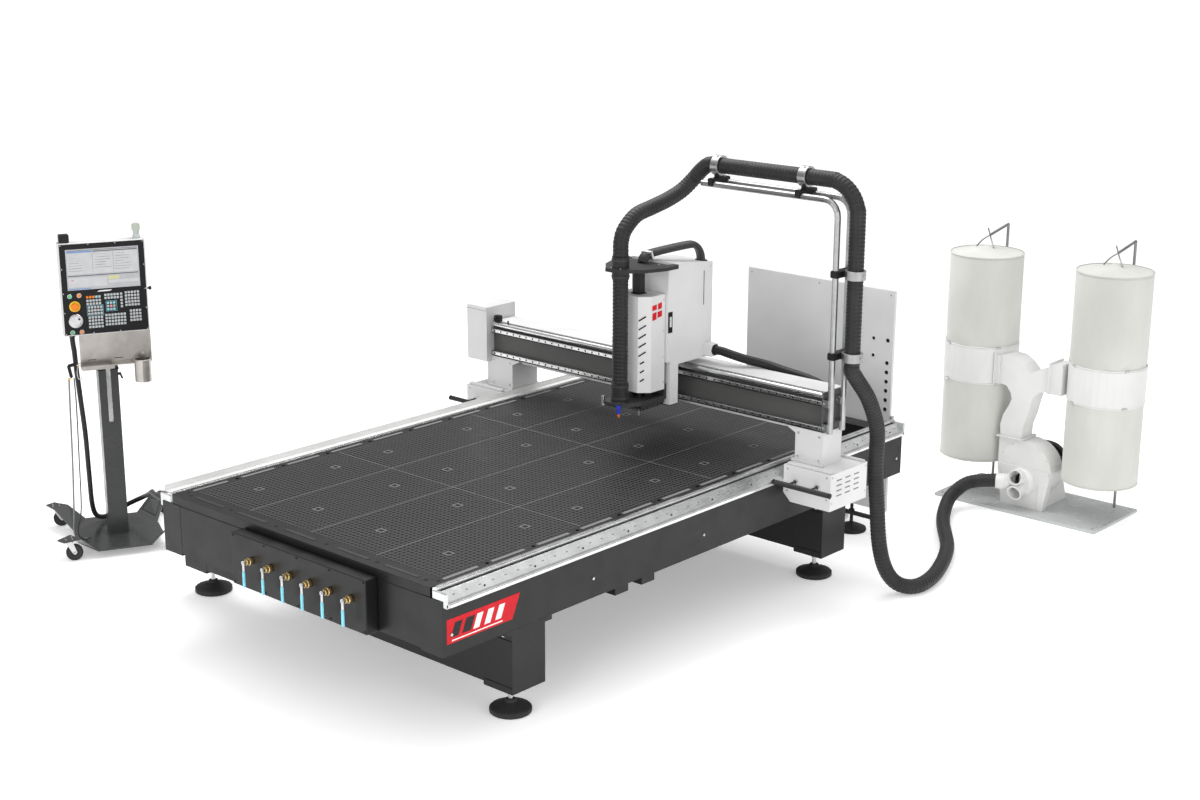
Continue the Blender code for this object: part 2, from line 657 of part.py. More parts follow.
def spindle_motor(dark):
    """The motor body with its mounting plate and a bore for the shaft."""
    motor_radius = 0.072
    origin = (HEAD_X, SPINDLE_Y, COVER_BOTTOM)
    profile = [(0.050, 1.175), (0.055, 1.185), (motor_radius, 1.215), (motor_radius, 1.66), (0.05, 1.675)]
    motor = new_object("spindle_motor", turned(profile, (HEAD_X, SPINDLE_Y, 0)), dark, origin)
    fuse(motor, block((HEAD_X - 0.09, SPINDLE_Y + 0.04, 1.23), (HEAD_X + 0.09, COVER_REAR + 0.001, 1.62)))
    cut(motor, rod((HEAD_X, SPINDLE_Y, 1.10), (HEAD_X, SPINDLE_Y, 1.50), 0.0155))
    return motor


def spindle_shaft(steel):
    """Shaft, collet nut and cutter, turning in the motor."""
    profile = [(0.004, 1.030), (0.006, 1.034), (0.006, 1.090), (0.017, 1.094), (0.025, 1.104),
               (0.025, 1.128),
               (0.0145, 1.132), (0.0145, 1.48)]
    origin = (HEAD_X, SPINDLE_Y, 1.10)
    return smooth(new_object("spindle_shaft", turned(profile, (HEAD_X, SPINDLE_Y, 0), sides=20), steel,
                             origin))


def dust_shoe(rubber):
    """The extraction shoe round the cutter: plate, brush skirt and the mouth that takes the hose."""
    low, high = 1.136, 1.160
    outline = [(HEAD_X - 0.060, 0.215), (HEAD_X + 0.060, 0.215), (HEAD_X + 0.115, 0.34),
               (HEAD_X + 0.118, 0.56),
               (HEAD_X + 0.112, 0.566), (HEAD_X - 0.112, 0.566), (HEAD_X - 0.118, 0.56),
               (HEAD_X - 0.115, 0.34)]
    shoe = new_object("dust_shoe", prism(outline, 2, low, high), rubber)
    skirt = block((HEAD_X - 0.10, 0.35, 1.112), (HEAD_X + 0.10, 0.56, low + 0.005))
    fuse(shoe, skirt)
    cut(shoe, block((HEAD_X - 0.088, 0.362, 1.05), (HEAD_X + 0.088, 0.548, low + 0.002)))
    cut(shoe, rod((HEAD_X, SPINDLE_Y, 1.0), (HEAD_X, SPINDLE_Y, 1.3), 0.040, 20))
    fuse(shoe, block((HEAD_X + 0.01, 0.5455, low + 0.004), (HEAD_X + 0.116, 0.5645, 1.225)))
    return shoe


def hose_drop(rubber):
    """The straight hose beside the spindle cover, its two collars, wing plate and post."""
    hose = [(0.050, 1.1603), (0.050, 1.265), (HOSE_RADIUS, 1.268), (HOSE_RADIUS, 1.875), (0.050, 1.878),
            (0.050, 2.010)]
    drop = new_object("hose_drop", turned(hose, (HEAD_X, HOSE_DROP_Y, 0), sides=20), rubber)
    right = [(0.055, 0.215), (0.105, 0.285), (0.144, 0.317), (0.198, 0.450), (0.204, 0.555), (0.190, 0.575),
             (0.154, 0.572), (0.148, 0.530)]
    outline = [(HEAD_X + x, y) for x, y in right] + [(HEAD_X - x, y) for x, y in reversed(right)]
    fuse(drop, prism(outline, 2, 1.925, 1.945))
    fuse(drop, block((HEAD_X - 0.025, 0.42, COVER_TOP + GAP), (HEAD_X + 0.025, 0.47, 1.93)))
    return smooth(drop, 40)


# ---------------------------------------------------------------- pendant stand

def stand_base(steel, frame):
    """A folded plate whose four wings rise to the casters, with the square column welded on it."""
    outline = [(-0.165, -0.33), (0.165, -0.33), (0.265, -0.12), (0.265, 0.06), (0.165, 0.32),
               (-0.165, 0.32),
               (-0.265, 0.06), (-0.265, -0.12)]
    low, high = 0.046, 0.056
    base = new_object("stand_base", prism(outline, 2, low, high), steel, parent=frame)
    for x, y in CASTER_PLACES.values():
        fuse(base, wing(x, y), parent=frame)
    half, wall = COLUMN_HALF, 0.006
    fuse(base, block((-half, -half, low + 0.004), (half, half, COLUMN_TOP)), parent=frame)
    cut(base, block((-half + wall, -half + wall, high + 0.02), (half - wall, half - wall, 1.3)),
        parent=frame)
    cut(base, block((-0.014, -half - 0.02, 0.79), (0.014, 0.0, 1.3)), parent=frame)
    return base


def wing(x, y):
    """One folded wing: a tapering sheet up from the plate's slanted edge, ending in a flat pad."""
    side, reach = math.copysign(1, x), math.copysign(1, y)
    near_end = Vector((side * 0.160, reach * (0.32 if reach < 0 else 0.31)))
    near_side = Vector((side * 0.258, reach * (0.13 if reach < 0 else 0.07)))
    pad = Vector((x, y))
    out = (pad - (near_end + near_side) / 2).normalized()
    across = Vector((-out.y, out.x)) * 0.055
    if across.dot(near_end - near_side) < 0:
        across = -across
    fold, tip = pad - out * 0.05, pad + out * 0.06
    rise = PAD_LOW - 0.047
    shape = bmesh.new()
    bottom = [(near_end, 0.047), (near_side, 0.047), (fold - across, 0.047 + rise),
              (tip - across * 0.6, PAD_LOW),
              (tip + across * 0.6, PAD_LOW), (fold + across, 0.047 + rise)]
    lower = [shape.verts.new((*place, z)) for place, z in bottom]
    upper = [shape.verts.new((*place, z + 0.008)) for place, z in bottom]
    for ring_verts in (lower, upper):
        a, b, c, d, e, f = ring_verts
        shape.faces.new((a, b, c, f))
        shape.faces.new((c, d, e, f))
    for i in range(6):
        j = (i + 1) % 6
        shape.faces.new((lower[i], lower[j], upper[j], upper[i]))
    return shape


def stand_mast(chrome, frame):
    """The inner mast that slides in the column, with its neck and the pivot barrel of the head."""
    inner = 0.050
    mast = new_object("stand_mast", block((-inner, -inner, 0.62), (inner, inner, 1.26), 0.003), chrome,
                      parent=frame)
    fuse(mast, block((-0.035, 0.0, 1.25), (0.035, 0.03, 1.66)), parent=frame)
    fuse(mast, rod((-0.035, TILT_AXIS[1], TILT_AXIS[2]), (0.035, TILT_AXIS[1], TILT_AXIS[2]), 0.018),
         parent=frame)
    fuse(mast, block((-0.035, TILT_AXIS[1], 1.585), (0.035, 0.02, 1.615)), parent=frame)
    return mast


TILT_AXIS = (0.0, -0.045, 1.60)
BUTTONS = {                        # x and z on the panel's face, hole radius
    "estop_button": (-0.182, 1.568, 0.0125),
    "jog_wheel": (-0.182, 1.480, 0.0085),
    "start_button": (-0.205, 1.408, 0.0105),
    "stop_button": (-0.150, 1.408, 0.0105),
}


def pendant_housing(sheet, frame):
    """The control head: a shallow box with blind holes for its controls and two pivot ears."""
    low = (-PANEL_HALF, PANEL_FRONT, PANEL_LOW)
    high = (PANEL_HALF, PANEL_REAR, PANEL_HIGH)
    head = new_object("pendant_housing", block(low, high, 0.004), sheet, TILT_AXIS, frame)
    for sign in (-1, 1):
        near, far = sorted((sign * 0.0365, sign * 0.052))
        fuse(head, block((near, PANEL_REAR - 0.01, 1.57), (far, -0.025, 1.63)), parent=frame)
    for x, z, radius in BUTTONS.values():
        cut(head, rod((x, PANEL_FRONT - 0.02, z), (x, PANEL_FRONT + 0.03, z), radius, 20), parent=frame)
    return head


def pendant_tray(stainless, frame):
    """The sheet skirt under the head with its shelf and the bin at its right."""
    top = PANEL_LOW - GAP
    front = PANEL_FRONT + 0.012
    tray = new_object("pendant_tray", block((-0.17, front, 1.185), (PANEL_HALF, front + 0.004, top)),
                      stainless,
                      TILT_AXIS, frame)
    fuse(tray, block((-0.17, front - 0.085, 1.180), (0.02, front + 0.004, 1.186)), parent=frame)
    fuse(tray, block((-0.17, front - 0.085, 1.180), (0.02, front - 0.080, 1.205)), parent=frame)
    fuse(tray, block((0.015, front - 0.055, 1.192), (0.15, front + 0.002, 1.198)), parent=frame)
    fuse(tray, rod((0.195, front - 0.042, 1.075), (0.195, front - 0.042, 1.215), 0.050, 20), parent=frame)
    cut(tray, rod((0.195, front - 0.042, 1.081), (0.195, front - 0.042, 1.25), 0.045, 20), parent=frame)
    return tray


def pendant_control(name, profile, material, frame):
    """A control turned about its own axis and set into its hole in the panel."""
    x, z, _ = BUTTONS[name]
    place = (x, PANEL_FRONT, z)
    return smooth(new_object(name, turned(profile, place, (0, -1, 0), 20), material, place, frame))


def pendant_controls(paints, frame):
    mushroom = [(0.0115, -0.018), (0.0115, 0.010), (0.020, 0.012), (0.0235, 0.018), (0.021, 0.024),
                (0.012, 0.027)]
    pendant_control("estop_button", mushroom, paints["red"], frame)
    wheel = [(0.0075, -0.020), (0.0075, 0.003), (0.030, 0.003), (0.030, 0.016), (0.027, 0.019),
             (0.010, 0.021)]
    pendant_control("jog_wheel", wheel, paints["steel"], frame)
    button = [(0.0095, -0.012), (0.0095, 0.005), (0.0080, 0.007)]
    pendant_control("start_button", button, paints["green"], frame)
    pendant_control("stop_button", button, paints["red"], frame)


def caster(name, x, y, paints, frame):
    """A swivel fork under the arm's pad and the wheel between its cheeks."""
    axle_x, axle_z = x + CASTER_TRAIL, CASTER_RADIUS + 0.0005
    top = PAD_LOW - GAP
    plate = turned([(0.026, 0.120), (0.026, top)], (x, y, 0), sides=16)
    fork = new_object("caster_fork_" + name, plate, paints["steel"], (x, y, top), frame)
    for sign in (-1, 1):
        near, far = sorted((y + sign * 0.0165, y + sign * 0.0205))
        cheek = [(x - 0.022, 0.124), (x + 0.022, 0.124), (axle_x + 0.014, axle_z), (axle_x, axle_z - 0.012),
                 (axle_x - 0.014, axle_z)]
        fuse(fork, prism(cheek, 1, near, far), parent=frame)
    fuse(fork, block((x - 0.018, y - 0.020, 0.1145), (x + 0.018, y + 0.020, 0.122)), parent=frame)
    cut(fork, rod((axle_x, y - 0.04, axle_z), (axle_x, y + 0.04, axle_z), 0.0060, 12), parent=frame)
    tread = [(0.005, -0.023), (0.005, -0.014), (CASTER_RADIUS - 0.006, -0.014), (CASTER_RADIUS, -0.009),
             (CASTER_RADIUS, 0.009), (CASTER_RADIUS - 0.006, 0.014), (0.005, 0.014), (0.005, 0.023)]
    place = (axle_x, y, axle_z)
    smooth(new_object("caster_wheel_" + name, turned(tread, place, (0, 1, 0), 20), paints["rubber"], place,
                      frame))


# ---------------------------------------------------------------- dust collector

PORT_END = (1.165, 3.095, 0.200)
PORT_DIRECTION = (-0.908, -0.419, 0.0)


def dust_base(sheet):
    return new_object("dust_base", block((0.69, 3.065, 0.0), (1.89, 3.675, PLATE_TOP), 0.002), sheet)


def blower_housing(sheet):
    """The fan scroll with its outlet, foot and three-way inlet, hollow from port to outlet."""
    x, z, r = BLOWER_X, BLOWER_Z, BLOWER_RADIUS
    left = x - r
    scroll = rod((x, BLOWER_FRONT, z), (x, BLOWER_REAR, z), r, 32)
    housing = new_object("blower_housing", scroll, sheet)
    fuse(housing, block((left + 0.001, BLOWER_FRONT + 0.002, z),
                        (left + 0.16, BLOWER_REAR - 0.002, FLANGE_Z - 0.004)))
    foot = [(x - 0.155, PLATE_TOP + GAP), (left + 0.008, z - 0.03), (left + 0.012, z + 0.02),
            (x + r - 0.012, z + 0.02), (x + r - 0.008, z - 0.03), (x + 0.155, PLATE_TOP + GAP)]
    fuse(housing, prism(foot, 1, BLOWER_FRONT - 0.008, BLOWER_FRONT + 0.05))
    plinth = [(x - 0.13, PLATE_TOP + GAP), (x - 0.10, z - 0.12), (x + 0.10, z - 0.12),
              (x + 0.13, PLATE_TOP + GAP)]
    fuse(housing, prism(plinth, 1, BLOWER_FRONT + 0.03, 3.57))
    fuse(housing, block((left - 0.015, BLOWER_FRONT - 0.015, FLANGE_Z - 0.010),
                        (left + 0.185, BLOWER_REAR + 0.012, FLANGE_Z)))
    hub_front = BLOWER_FRONT - 0.045
    fuse(housing, turned([(0.095, 0), (0.095, 0.03), (0.075, 0.055)], (x, BLOWER_FRONT, 0.20), (0, -1, 0)))
    ports = [((x - 0.01, hub_front + 0.01, 0.205), PORT_END),
             ((x, hub_front + 0.01, 0.235), (x, 3.085, 0.252)),
             ((x, hub_front + 0.01, 0.165), (x, 3.085, 0.142))]
    for inner, outer in ports:
        fuse(housing, rod(inner, outer, 0.050, 20))
    cut(housing, rod((x, BLOWER_FRONT + 0.012, z), (x, BLOWER_REAR - 0.012, z), r - 0.012, 32))
    cut(housing, block((left + 0.014, BLOWER_FRONT + 0.014, z), (left + 0.148, BLOWER_REAR - 0.014, 0.60)))
    cut(housing, rod((x, hub_front + 0.012, 0.20), (x, BLOWER_FRONT + 0.03, 0.20), 0.06, 20))
    for inner, outer in ports:
        inner, outer = Vector(inner), Vector(outer)
        cut(housing, rod(inner, outer + (outer - inner).normalized() * 0.02, 0.0435, 20))
    cut(housing, rod((x, BLOWER_REAR - 0.05, z), (x, BLOWER_REAR + 0.20, z), 0.016, 24))
    return housing


def impeller(steel):
    """The fan wheel: back disc, eight paddles and the hub on the motor's shaft."""
    x, z = BLOWER_X, BLOWER_Z
    disc = BLOWER_REAR - 0.025
    profile = [(0.030, disc - 0.06), (0.030, disc - 0.004), (0.165, disc - 0.004), (0.165, disc),
               (0.012, disc + 0.004),
               (0.012, BLOWER_REAR + 0.03)]
    wheel = new_object("impeller", turned(profile, (x, 0, z), (0, 1, 0)), steel, (x, disc, z))
    for i in range(8):
        blade = block((0.025, disc - 0.09, -0.003), (0.160, disc - 0.001, 0.003))
        blade.transform(Matrix.Translation((x, 0, z)) @ Matrix.Rotation(math.tau * i / 8, 4, "Y"))
        fuse(wheel, blade)
    return wheel


def blower_motor(dark):
    """The motor on the back of the scroll, standing clear of the plinth."""
    x, z = BLOWER_X, BLOWER_Z
    start = BLOWER_REAR + GAP
    profile = [(0.085, start), (0.112, start + 0.012), (0.112, start + 0.19), (0.10, start + 0.205),
               (0.06, start + 0.215)]
    motor = new_object("blower_motor", turned(profile, (x, 0, z), (0, 1, 0)), dark)
    cut(motor, rod((x, start - 0.02, z), (x, start + 0.045, z), 0.0145))
    return smooth(motor, 30)


def bag_frame(sheet):
    """The two bag rings, their inlet boxes, the branched duct and the posts that hang the bags."""
    middle = (RING_LOW + RING_HIGH) / 2
    frame = None
    for x in BAG_X.values():
        shape = ring((x, BAG_Y, middle), (0, 0, 1), BAG_RADIUS - 0.004, BAG_RADIUS + 0.004,
                     RING_HIGH - RING_LOW, 32)
        frame = fuse(frame, shape) if frame else new_object("bag_frame", shape, sheet)
    front, back = BLOWER_FRONT, BLOWER_REAR - 0.012
    low, high = RING_LOW + 0.004, RING_LOW + 0.200
    right = 1.435
    fuse(frame, block((1.018, front - 0.008, low + 0.002), (1.062, back, high - 0.002)))
    taper = [(right, low), (right, high), (right + 0.085, high + 0.012), (right + 0.085, low - 0.001)]
    fuse(frame, prism(taper, 1, front - 0.004, back + 0.004))
    foot = BLOWER_X - BLOWER_RADIUS + 0.085
    duct = [(foot - 0.080, FLANGE_Z + GAP), (foot - 0.086, 0.56), (foot - 0.068, 0.63), (foot - 0.03, 0.70),
            (foot - 0.012, 0.745), (foot - 0.022, 0.785), (foot - 0.055, 0.830), (1.040, low + 0.008),
            (1.040, high - 0.006), (1.10, high + 0.010), (1.175, high + 0.004), (1.235, high - 0.032),
            (1.285, high - 0.085), (right + 0.01, high - 0.012), (right + 0.01, low + 0.004),
            (1.36, low - 0.002),
            (1.315, 0.79), (1.298, 0.72), (1.282, 0.65), (foot + 0.085, 0.57),
            (foot + 0.078, FLANGE_Z + GAP)]
    fuse(frame, prism(duct, 1, front + 0.004, back - 0.004))
    for x in (1.030, right - 0.003):
        fuse(frame, block((x - 0.006, front - 0.022, low - 0.0005),
                          (x + 0.004, back + 0.012, high + 0.014)))
    for x in BAG_X.values():
        post_y = BAG_Y + BAG_RADIUS + 0.010
        path = [(x, post_y, PLATE_TOP + GAP), (x, post_y, BAG_TOP + 0.16),
                (x, BAG_Y + 0.02, BAG_TOP + 0.115)]
        fuse(frame, tube(path, 0.008, 8))
    return frame


def bags(cloth):
    """A filter bag above each ring and a collection bag below it."""
    r = BAG_RADIUS
    for side, x in BAG_X.items():
        top = [(r - 0.002, RING_HIGH + GAP), (r, RING_HIGH + 0.03), (r, BAG_TOP),
               (r - 0.010, BAG_TOP + 0.012), (0.13, BAG_TOP + 0.034), (0.03, BAG_TOP + 0.055)]
        smooth(new_object("filter_bag_" + side, turned(top, (x, BAG_Y, 0), sides=28), cloth), 60)
        low = [(r - 0.06, BAG_BOTTOM), (r - 0.02, BAG_BOTTOM + 0.008), (r - 0.004, BAG_BOTTOM + 0.03),
               (r - 0.002, RING_LOW - GAP)]
        smooth(new_object("dust_bag_" + side, turned(low, (x, BAG_Y, 0), sides=28), cloth), 60)


# ---------------------------------------------------------------- the assembly

def build():
    clear_scene()
    paints = {
        "charcoal": paint("charcoal_paint", (0.045, 0.045, 0.044), 0.45),
        "bed": paint("phenolic_bed", (0.020, 0.020, 0.021), 0.40),
        "white": paint("white_paint", (0.72, 0.72, 0.72), 0.40),
        "grey": paint("beam_grey", (0.10, 0.10, 0.098), 0.40),
        "aluminium": paint("aluminium", (0.62, 0.63, 0.63), 0.30, 1.0),
        "steel": paint("bright_steel", (0.55, 0.55, 0.56), 0.25, 1.0),
        "stainless": paint("stainless", (0.42, 0.39, 0.36), 0.35, 1.0),
        "brass": paint("brass", (0.70, 0.50, 0.22), 0.30, 1.0),
        "blue": paint("lever_blue", (0.22, 0.65, 0.80), 0.35),
        "rubber": paint("black_rubber", (0.030, 0.030, 0.030), 0.60),
        "dark": paint("dark_plastic", (0.030, 0.030, 0.032), 0.45),
        "red": paint("red_plastic", (0.70, 0.05, 0.03), 0.35),
        "green": paint("green_plastic", (0.05, 0.50, 0.15), 0.35),
        "cloth": paint("filter_cloth", (0.66, 0.66, 0.62), 0.85),
    }
    base_frame(paints["charcoal"])
    table_bed(paints["bed"])
    for side in ("left", "right"):
        rail(side, paints["aluminium"])
        carriage(side, paints["white"])
        bumper(side, paints["dark"])
    for end in LEG_FRAME_FRONTS:
        leg_frame(end, paints["charcoal"])
    feet(paints["rubber"])

    valve_places = [VALVE_FIRST_X + VALVE_PITCH * i for i in range(VALVE_COUNT)]
    manifold_box(paints["charcoal"], valve_places)
    valve_header(paints["brass"], valve_places)
    for number, x in enumerate(valve_places, start=1):
        valve_lever(number, x, paints["blue"])
    cabinet(paints["white"])

    gantry_beam(paints["grey"])
    hose_mast(paints["aluminium"])
    hose_over(paints["rubber"])
    hose_bridge(paints["rubber"])
    hose_floor(paints["rubber"])
    z_saddle(paints["white"])
    spindle_cover(paints["white"])
    spindle_motor(paints["dark"])
    spindle_shaft(paints["steel"])
    dust_shoe(paints["rubber"])
    hose_drop(paints["rubber"])

    stand = bpy.data.objects.new("pendant_stand_frame", None)
    bpy.context.scene.collection.objects.link(stand)
    stand.location = Vector((*STAND_PLACE, 0.0)) - ROW_ORIGIN
    stand.rotation_euler = (0.0, 0.0, STAND_TURN)
    stand_base(paints["charcoal"], stand)
    stand_mast(paints["steel"], stand)
    pendant_housing(paints["white"], stand)
    pendant_tray(paints["stainless"], stand)
    pendant_controls(paints, stand)
    for name, (x, y) in CASTER_PLACES.items():
        caster(name, x, y, paints, stand)

    dust_base(paints["white"])
    blower_housing(paints["white"])
    impeller(paints["steel"])
    blower_motor(paints["dark"])
    bag_frame(paints["white"])
    bags(paints["cloth"])


build()
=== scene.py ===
"""Looks for the CNC router: surfaces for the CAD nodes, the fine pieces round them, light and camera.

Pieces are drawn in metres from the middle of the table, +X right and +Y to the rear, and moved to the
frame's own origin as they are made. Pieces of the pendant stand are drawn in the stand's upright frame.
"""

import math
import random

import bmesh
import bpy
from mathutils import Matrix, Vector


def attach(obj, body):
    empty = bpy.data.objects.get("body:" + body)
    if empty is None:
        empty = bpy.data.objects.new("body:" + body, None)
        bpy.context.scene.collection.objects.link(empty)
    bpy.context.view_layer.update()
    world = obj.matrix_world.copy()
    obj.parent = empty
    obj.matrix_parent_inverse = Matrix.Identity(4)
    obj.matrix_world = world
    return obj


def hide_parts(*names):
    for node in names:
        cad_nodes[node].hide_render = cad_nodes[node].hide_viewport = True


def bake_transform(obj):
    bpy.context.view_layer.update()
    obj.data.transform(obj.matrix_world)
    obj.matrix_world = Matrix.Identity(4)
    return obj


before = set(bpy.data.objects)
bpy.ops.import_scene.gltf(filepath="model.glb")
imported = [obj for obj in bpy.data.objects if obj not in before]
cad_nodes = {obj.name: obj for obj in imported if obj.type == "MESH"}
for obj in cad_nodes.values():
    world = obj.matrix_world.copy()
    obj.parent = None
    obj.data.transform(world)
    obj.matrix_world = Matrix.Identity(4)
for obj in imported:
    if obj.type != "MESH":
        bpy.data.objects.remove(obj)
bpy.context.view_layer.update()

ROW_ORIGIN = Vector((-0.6239, 0.7928, 0.0))          # seen from the middle of the table
TABLE = Matrix.Translation(-ROW_ORIGIN)
STAND = TABLE @ Matrix.Translation((-2.690, -1.230, 0.0)) @ Matrix.Rotation(math.radians(64), 4, "Z")

TABLE_TOP = 0.85
FRAME_HALF_LENGTH = 1.955
BORDER_INNER = 0.955
BED_FRONT, BED_REAR = -1.83, 1.37
BED_SEAMS_X = (-0.5, 0.0, 0.5)
BED_SEAMS_Y = (-0.83, 0.251)
PORT_ROWS = (-1.573, -1.031, -0.634, 0.005, 0.443, 0.907)
PORT_COLUMNS = (-0.75, -0.25, 0.25, 0.75)

HOSE_RADIUS = 0.042
GROOVE_RADIUS = 0.0425                               # a ribbed wall stands just off the CAD hose
MAST_Y = 0.86
HOSE_ARM_Z = 2.492
HOSE_DOWN_X = 1.45
HEAD_X = 0.24
HOSE_DROP_Y = 0.285
SPINDLE_Y = 0.455
BEAM_HALF_LENGTH = 1.32
BEAM_FRONT = 0.80
BAG_X = {"left": 0.825, "right": 1.755}
BAG_Y = 3.352
BAG_RADIUS = 0.245
RING_LOW, RING_HIGH = 0.83, 1.065
BAG_TOP, BAG_BOTTOM = 1.675, 0.265
PANEL_FRONT = -0.16
random.seed(7)


# ---------------------------------------------------------------- shapes

def block(low, high, bevel=0.0, segments=2):
    """A box between two corners with rounded edges."""
    shape = bmesh.new()
    bmesh.ops.create_cube(shape, size=1.0)
    size = Vector(high) - Vector(low)
    middle = (Vector(high) + Vector(low)) / 2
    for vert in shape.verts:
        vert.co = Vector(vert.co[i] * size[i] + middle[i] for i in range(3))
    if bevel:
        bmesh.ops.bevel(shape, geom=shape.edges[:], offset=bevel, segments=segments, affect="EDGES")
    return shape


def bar(centre, size, turn=None, bevel=0.0):
    """A box about a centre, turned by a matrix."""
    half = Vector(size) / 2
    shape = block(-half, half, bevel)
    if turn:
        shape.transform(turn.to_4x4())
    shape.transform(Matrix.Translation(centre))
    return shape


def turned(profile, centre=(0, 0, 0), direction=(0, 0, 1), sides=24, closed=True):
    """Turn (radius, height) points about `direction` through `centre`."""
    shape = bmesh.new()
    rings = []
    for radius, height in profile:
        ring_verts = []
        for i in range(sides):
            angle = math.tau * i / sides
            ring_verts.append(shape.verts.new((radius * math.cos(angle), radius * math.sin(angle), height)))
        rings.append(ring_verts)
    for lower, upper in zip(rings, rings[1:]):
        for i in range(sides):
            j = (i + 1) % sides
            shape.faces.new((lower[i], lower[j], upper[j], upper[i]))
    if closed:
        shape.faces.new(reversed(rings[0]))
        shape.faces.new(rings[-1])
    turn = Vector((0, 0, 1)).rotation_difference(Vector(direction)).to_matrix().to_4x4()
    shape.transform(Matrix.Translation(centre) @ turn)
    return shape


def rod(start, end, radius, sides=16):
    along = Vector(end) - Vector(start)
    return turned([(radius, 0), (radius, along.length)], start, along.normalized(), sides)


def bolt(place, direction, radius=0.006, height=0.004):
    """A hexagon socket cap screw head."""
    profile = [(radius, 0), (radius, height * 0.8), (radius * 0.85, height), (radius * 0.45, height),
               (radius * 0.42, height * 0.45)]
    return turned(profile, place, direction, 12)


def band(centre, direction, bore, outer, width, sides=40):
    """A closed strap with rounded lips."""
    lip = min(0.003, (outer - bore) / 2, width / 4)
    profile = [(bore, -width / 2), (outer - lip, -width / 2), (outer, -width / 2 + lip), (outer, width / 2 - lip),
               (outer - lip, width / 2), (bore, width / 2), (bore, -width / 2)]
    return turned(profile, centre, direction, sides, closed=False)


def smooth_path(points, steps):
    """A Catmull-Rom curve through the points."""
    points = [Vector(p) for p in points]
    ends = [2 * points[0] - points[1]] + points + [2 * points[-1] - points[-2]]
    path = []
    for a, b, c, d in zip(ends, ends[1:], ends[2:], ends[3:]):
        for i in range(steps):
            t = i / steps
            path.append(0.5 * (2 * b + (c - a) * t + (2 * a - 5 * b + 4 * c - d) * t ** 2
                               + (3 * b - a - 3 * c + d) * t ** 3))
    path.append(points[-1])
    return path


def evenly(path, pitch):
    """The path resampled at equal steps of about `pitch`."""
    lengths = [0.0]
    for a, b in zip(path, path[1:]):
        lengths.append(lengths[-1] + (b - a).length)
    count = max(2, round(lengths[-1] / pitch))
    places, k = [], 0
    for i in range(count + 1):
        target = lengths[-1] * i / count
        while k < len(path) - 2 and lengths[k + 1] < target:
            k += 1
        span = lengths[k + 1] - lengths[k]
        share = (target - lengths[k]) / span if span else 0.0
        places.append(path[k].lerp(path[k + 1], min(share, 1.0)))
    return places


def swept(path, radius_at, sides=20, flat=1.0, facing=None):
    """A tube along a path; `radius_at(i)` gives each ring's radius and `flat` squeezes it one way."""
    shape = bmesh.new()
    path = [Vector(p) for p in path]
    normal = Vector(facing) if facing else None
    rings = []
    for i, point in enumerate(path):
        ahead = (path[min(i + 1, len(path) - 1)] - path[max(i - 1, 0)]).normalized()
        if normal is None:
            normal = ahead.orthogonal().normalized()
        normal = (normal - ahead * normal.dot(ahead)).normalized()
        across = ahead.cross(normal)
        radius = radius_at(i)
        ring_verts = []
        for k in range(sides):
            angle = math.tau * k / sides
            offset = normal * math.cos(angle) * flat + across * math.sin(angle)
            ring_verts.append(shape.verts.new(point + offset * radius))
        rings.append(ring_verts)
    for lower, upper in zip(rings, rings[1:]):
        for k in range(sides):
            m = (k + 1) % sides
            shape.faces.new((lower[k], lower[m], upper[m], upper[k]))
    shape.faces.new(reversed(rings[0]))
    shape.faces.new(rings[-1])
    return shape


def cable(points, radius, steps=8, sides=10):
    path = evenly(smooth_path(points, steps), radius * 2.2)
    return swept(path, lambda i: radius, sides)


RIB_PITCH = 0.022
RIB_WAVE = (0.0, 0.0021, 0.0028, 0.0030, 0.0028, 0.0021)


def ribbed(points, steps=8, sides=24):
    """A wire-wound hose: a broad rib every RIB_PITCH with a narrow groove between ribs."""
    path = evenly(smooth_path(points, steps), RIB_PITCH / len(RIB_WAVE))
    return swept(path, lambda i: GROOVE_RADIUS + RIB_WAVE[i % len(RIB_WAVE)], sides)


def outline_prism(outline, axis, start, end, bevel=0.0):
    """Extrude a closed outline of the two other axes along `axis`."""
    shape = bmesh.new()
    axes = [i for i in range(3) if i != axis]
    rings = []
    for level in (start, end):
        ring_verts = []
        for point in outline:
            place = [0.0, 0.0, 0.0]
            place[axis] = level
            place[axes[0]], place[axes[1]] = point
            ring_verts.append(shape.verts.new(place))
        rings.append(ring_verts)
    shape.faces.new(rings[0])
    shape.faces.new(reversed(rings[1]))
    for i in range(len(outline)):
        j = (i + 1) % len(outline)
        shape.faces.new((rings[0][i], rings[1][i], rings[1][j], rings[0][j]))
    if bevel:
        bmesh.ops.recalc_face_normals(shape, faces=shape.faces)
        bmesh.ops.bevel(shape, geom=shape.edges[:], offset=bevel, segments=2, affect="EDGES")
    return shape


def detail(name, shapes, material, body=None, place=TABLE, angle=35):
    """One object out of several shapes, in the frame's coordinates, riding on a CAD body."""
    joined = bpy.data.meshes.new(name)
    whole = bmesh.new()
    for shape in shapes:
        bmesh.ops.recalc_face_normals(shape, faces=shape.faces)
        part = bpy.data.meshes.new("part")
        shape.to_mesh(part)
        shape.free()
        whole.from_mesh(part)
        bpy.data.meshes.remove(part)
    whole.transform(place)
    whole.to_mesh(joined)
    whole.free()
    item = bpy.data.objects.new(name, joined)
    bpy.context.scene.collection.objects.link(item)
    joined.materials.append(material)
    joined.shade_smooth()
    joined.set_sharp_from_angle(angle=math.radians(angle))
    if body:
        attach(item, body)
    return item


# ---------------------------------------------------------------- surfaces

def new_surface(name, roughness, metallic=0.0):
    material = bpy.data.materials.new(name)
    material.use_nodes = True
    tree = material.node_tree
    shader = tree.nodes["Principled BSDF"]
    shader.inputs["Roughness"].default_value = roughness
    shader.inputs["Metallic"].default_value = metallic
    shader.inputs["Specular IOR Level"].default_value = 0.5 if metallic else 0.3
    return material, tree, shader


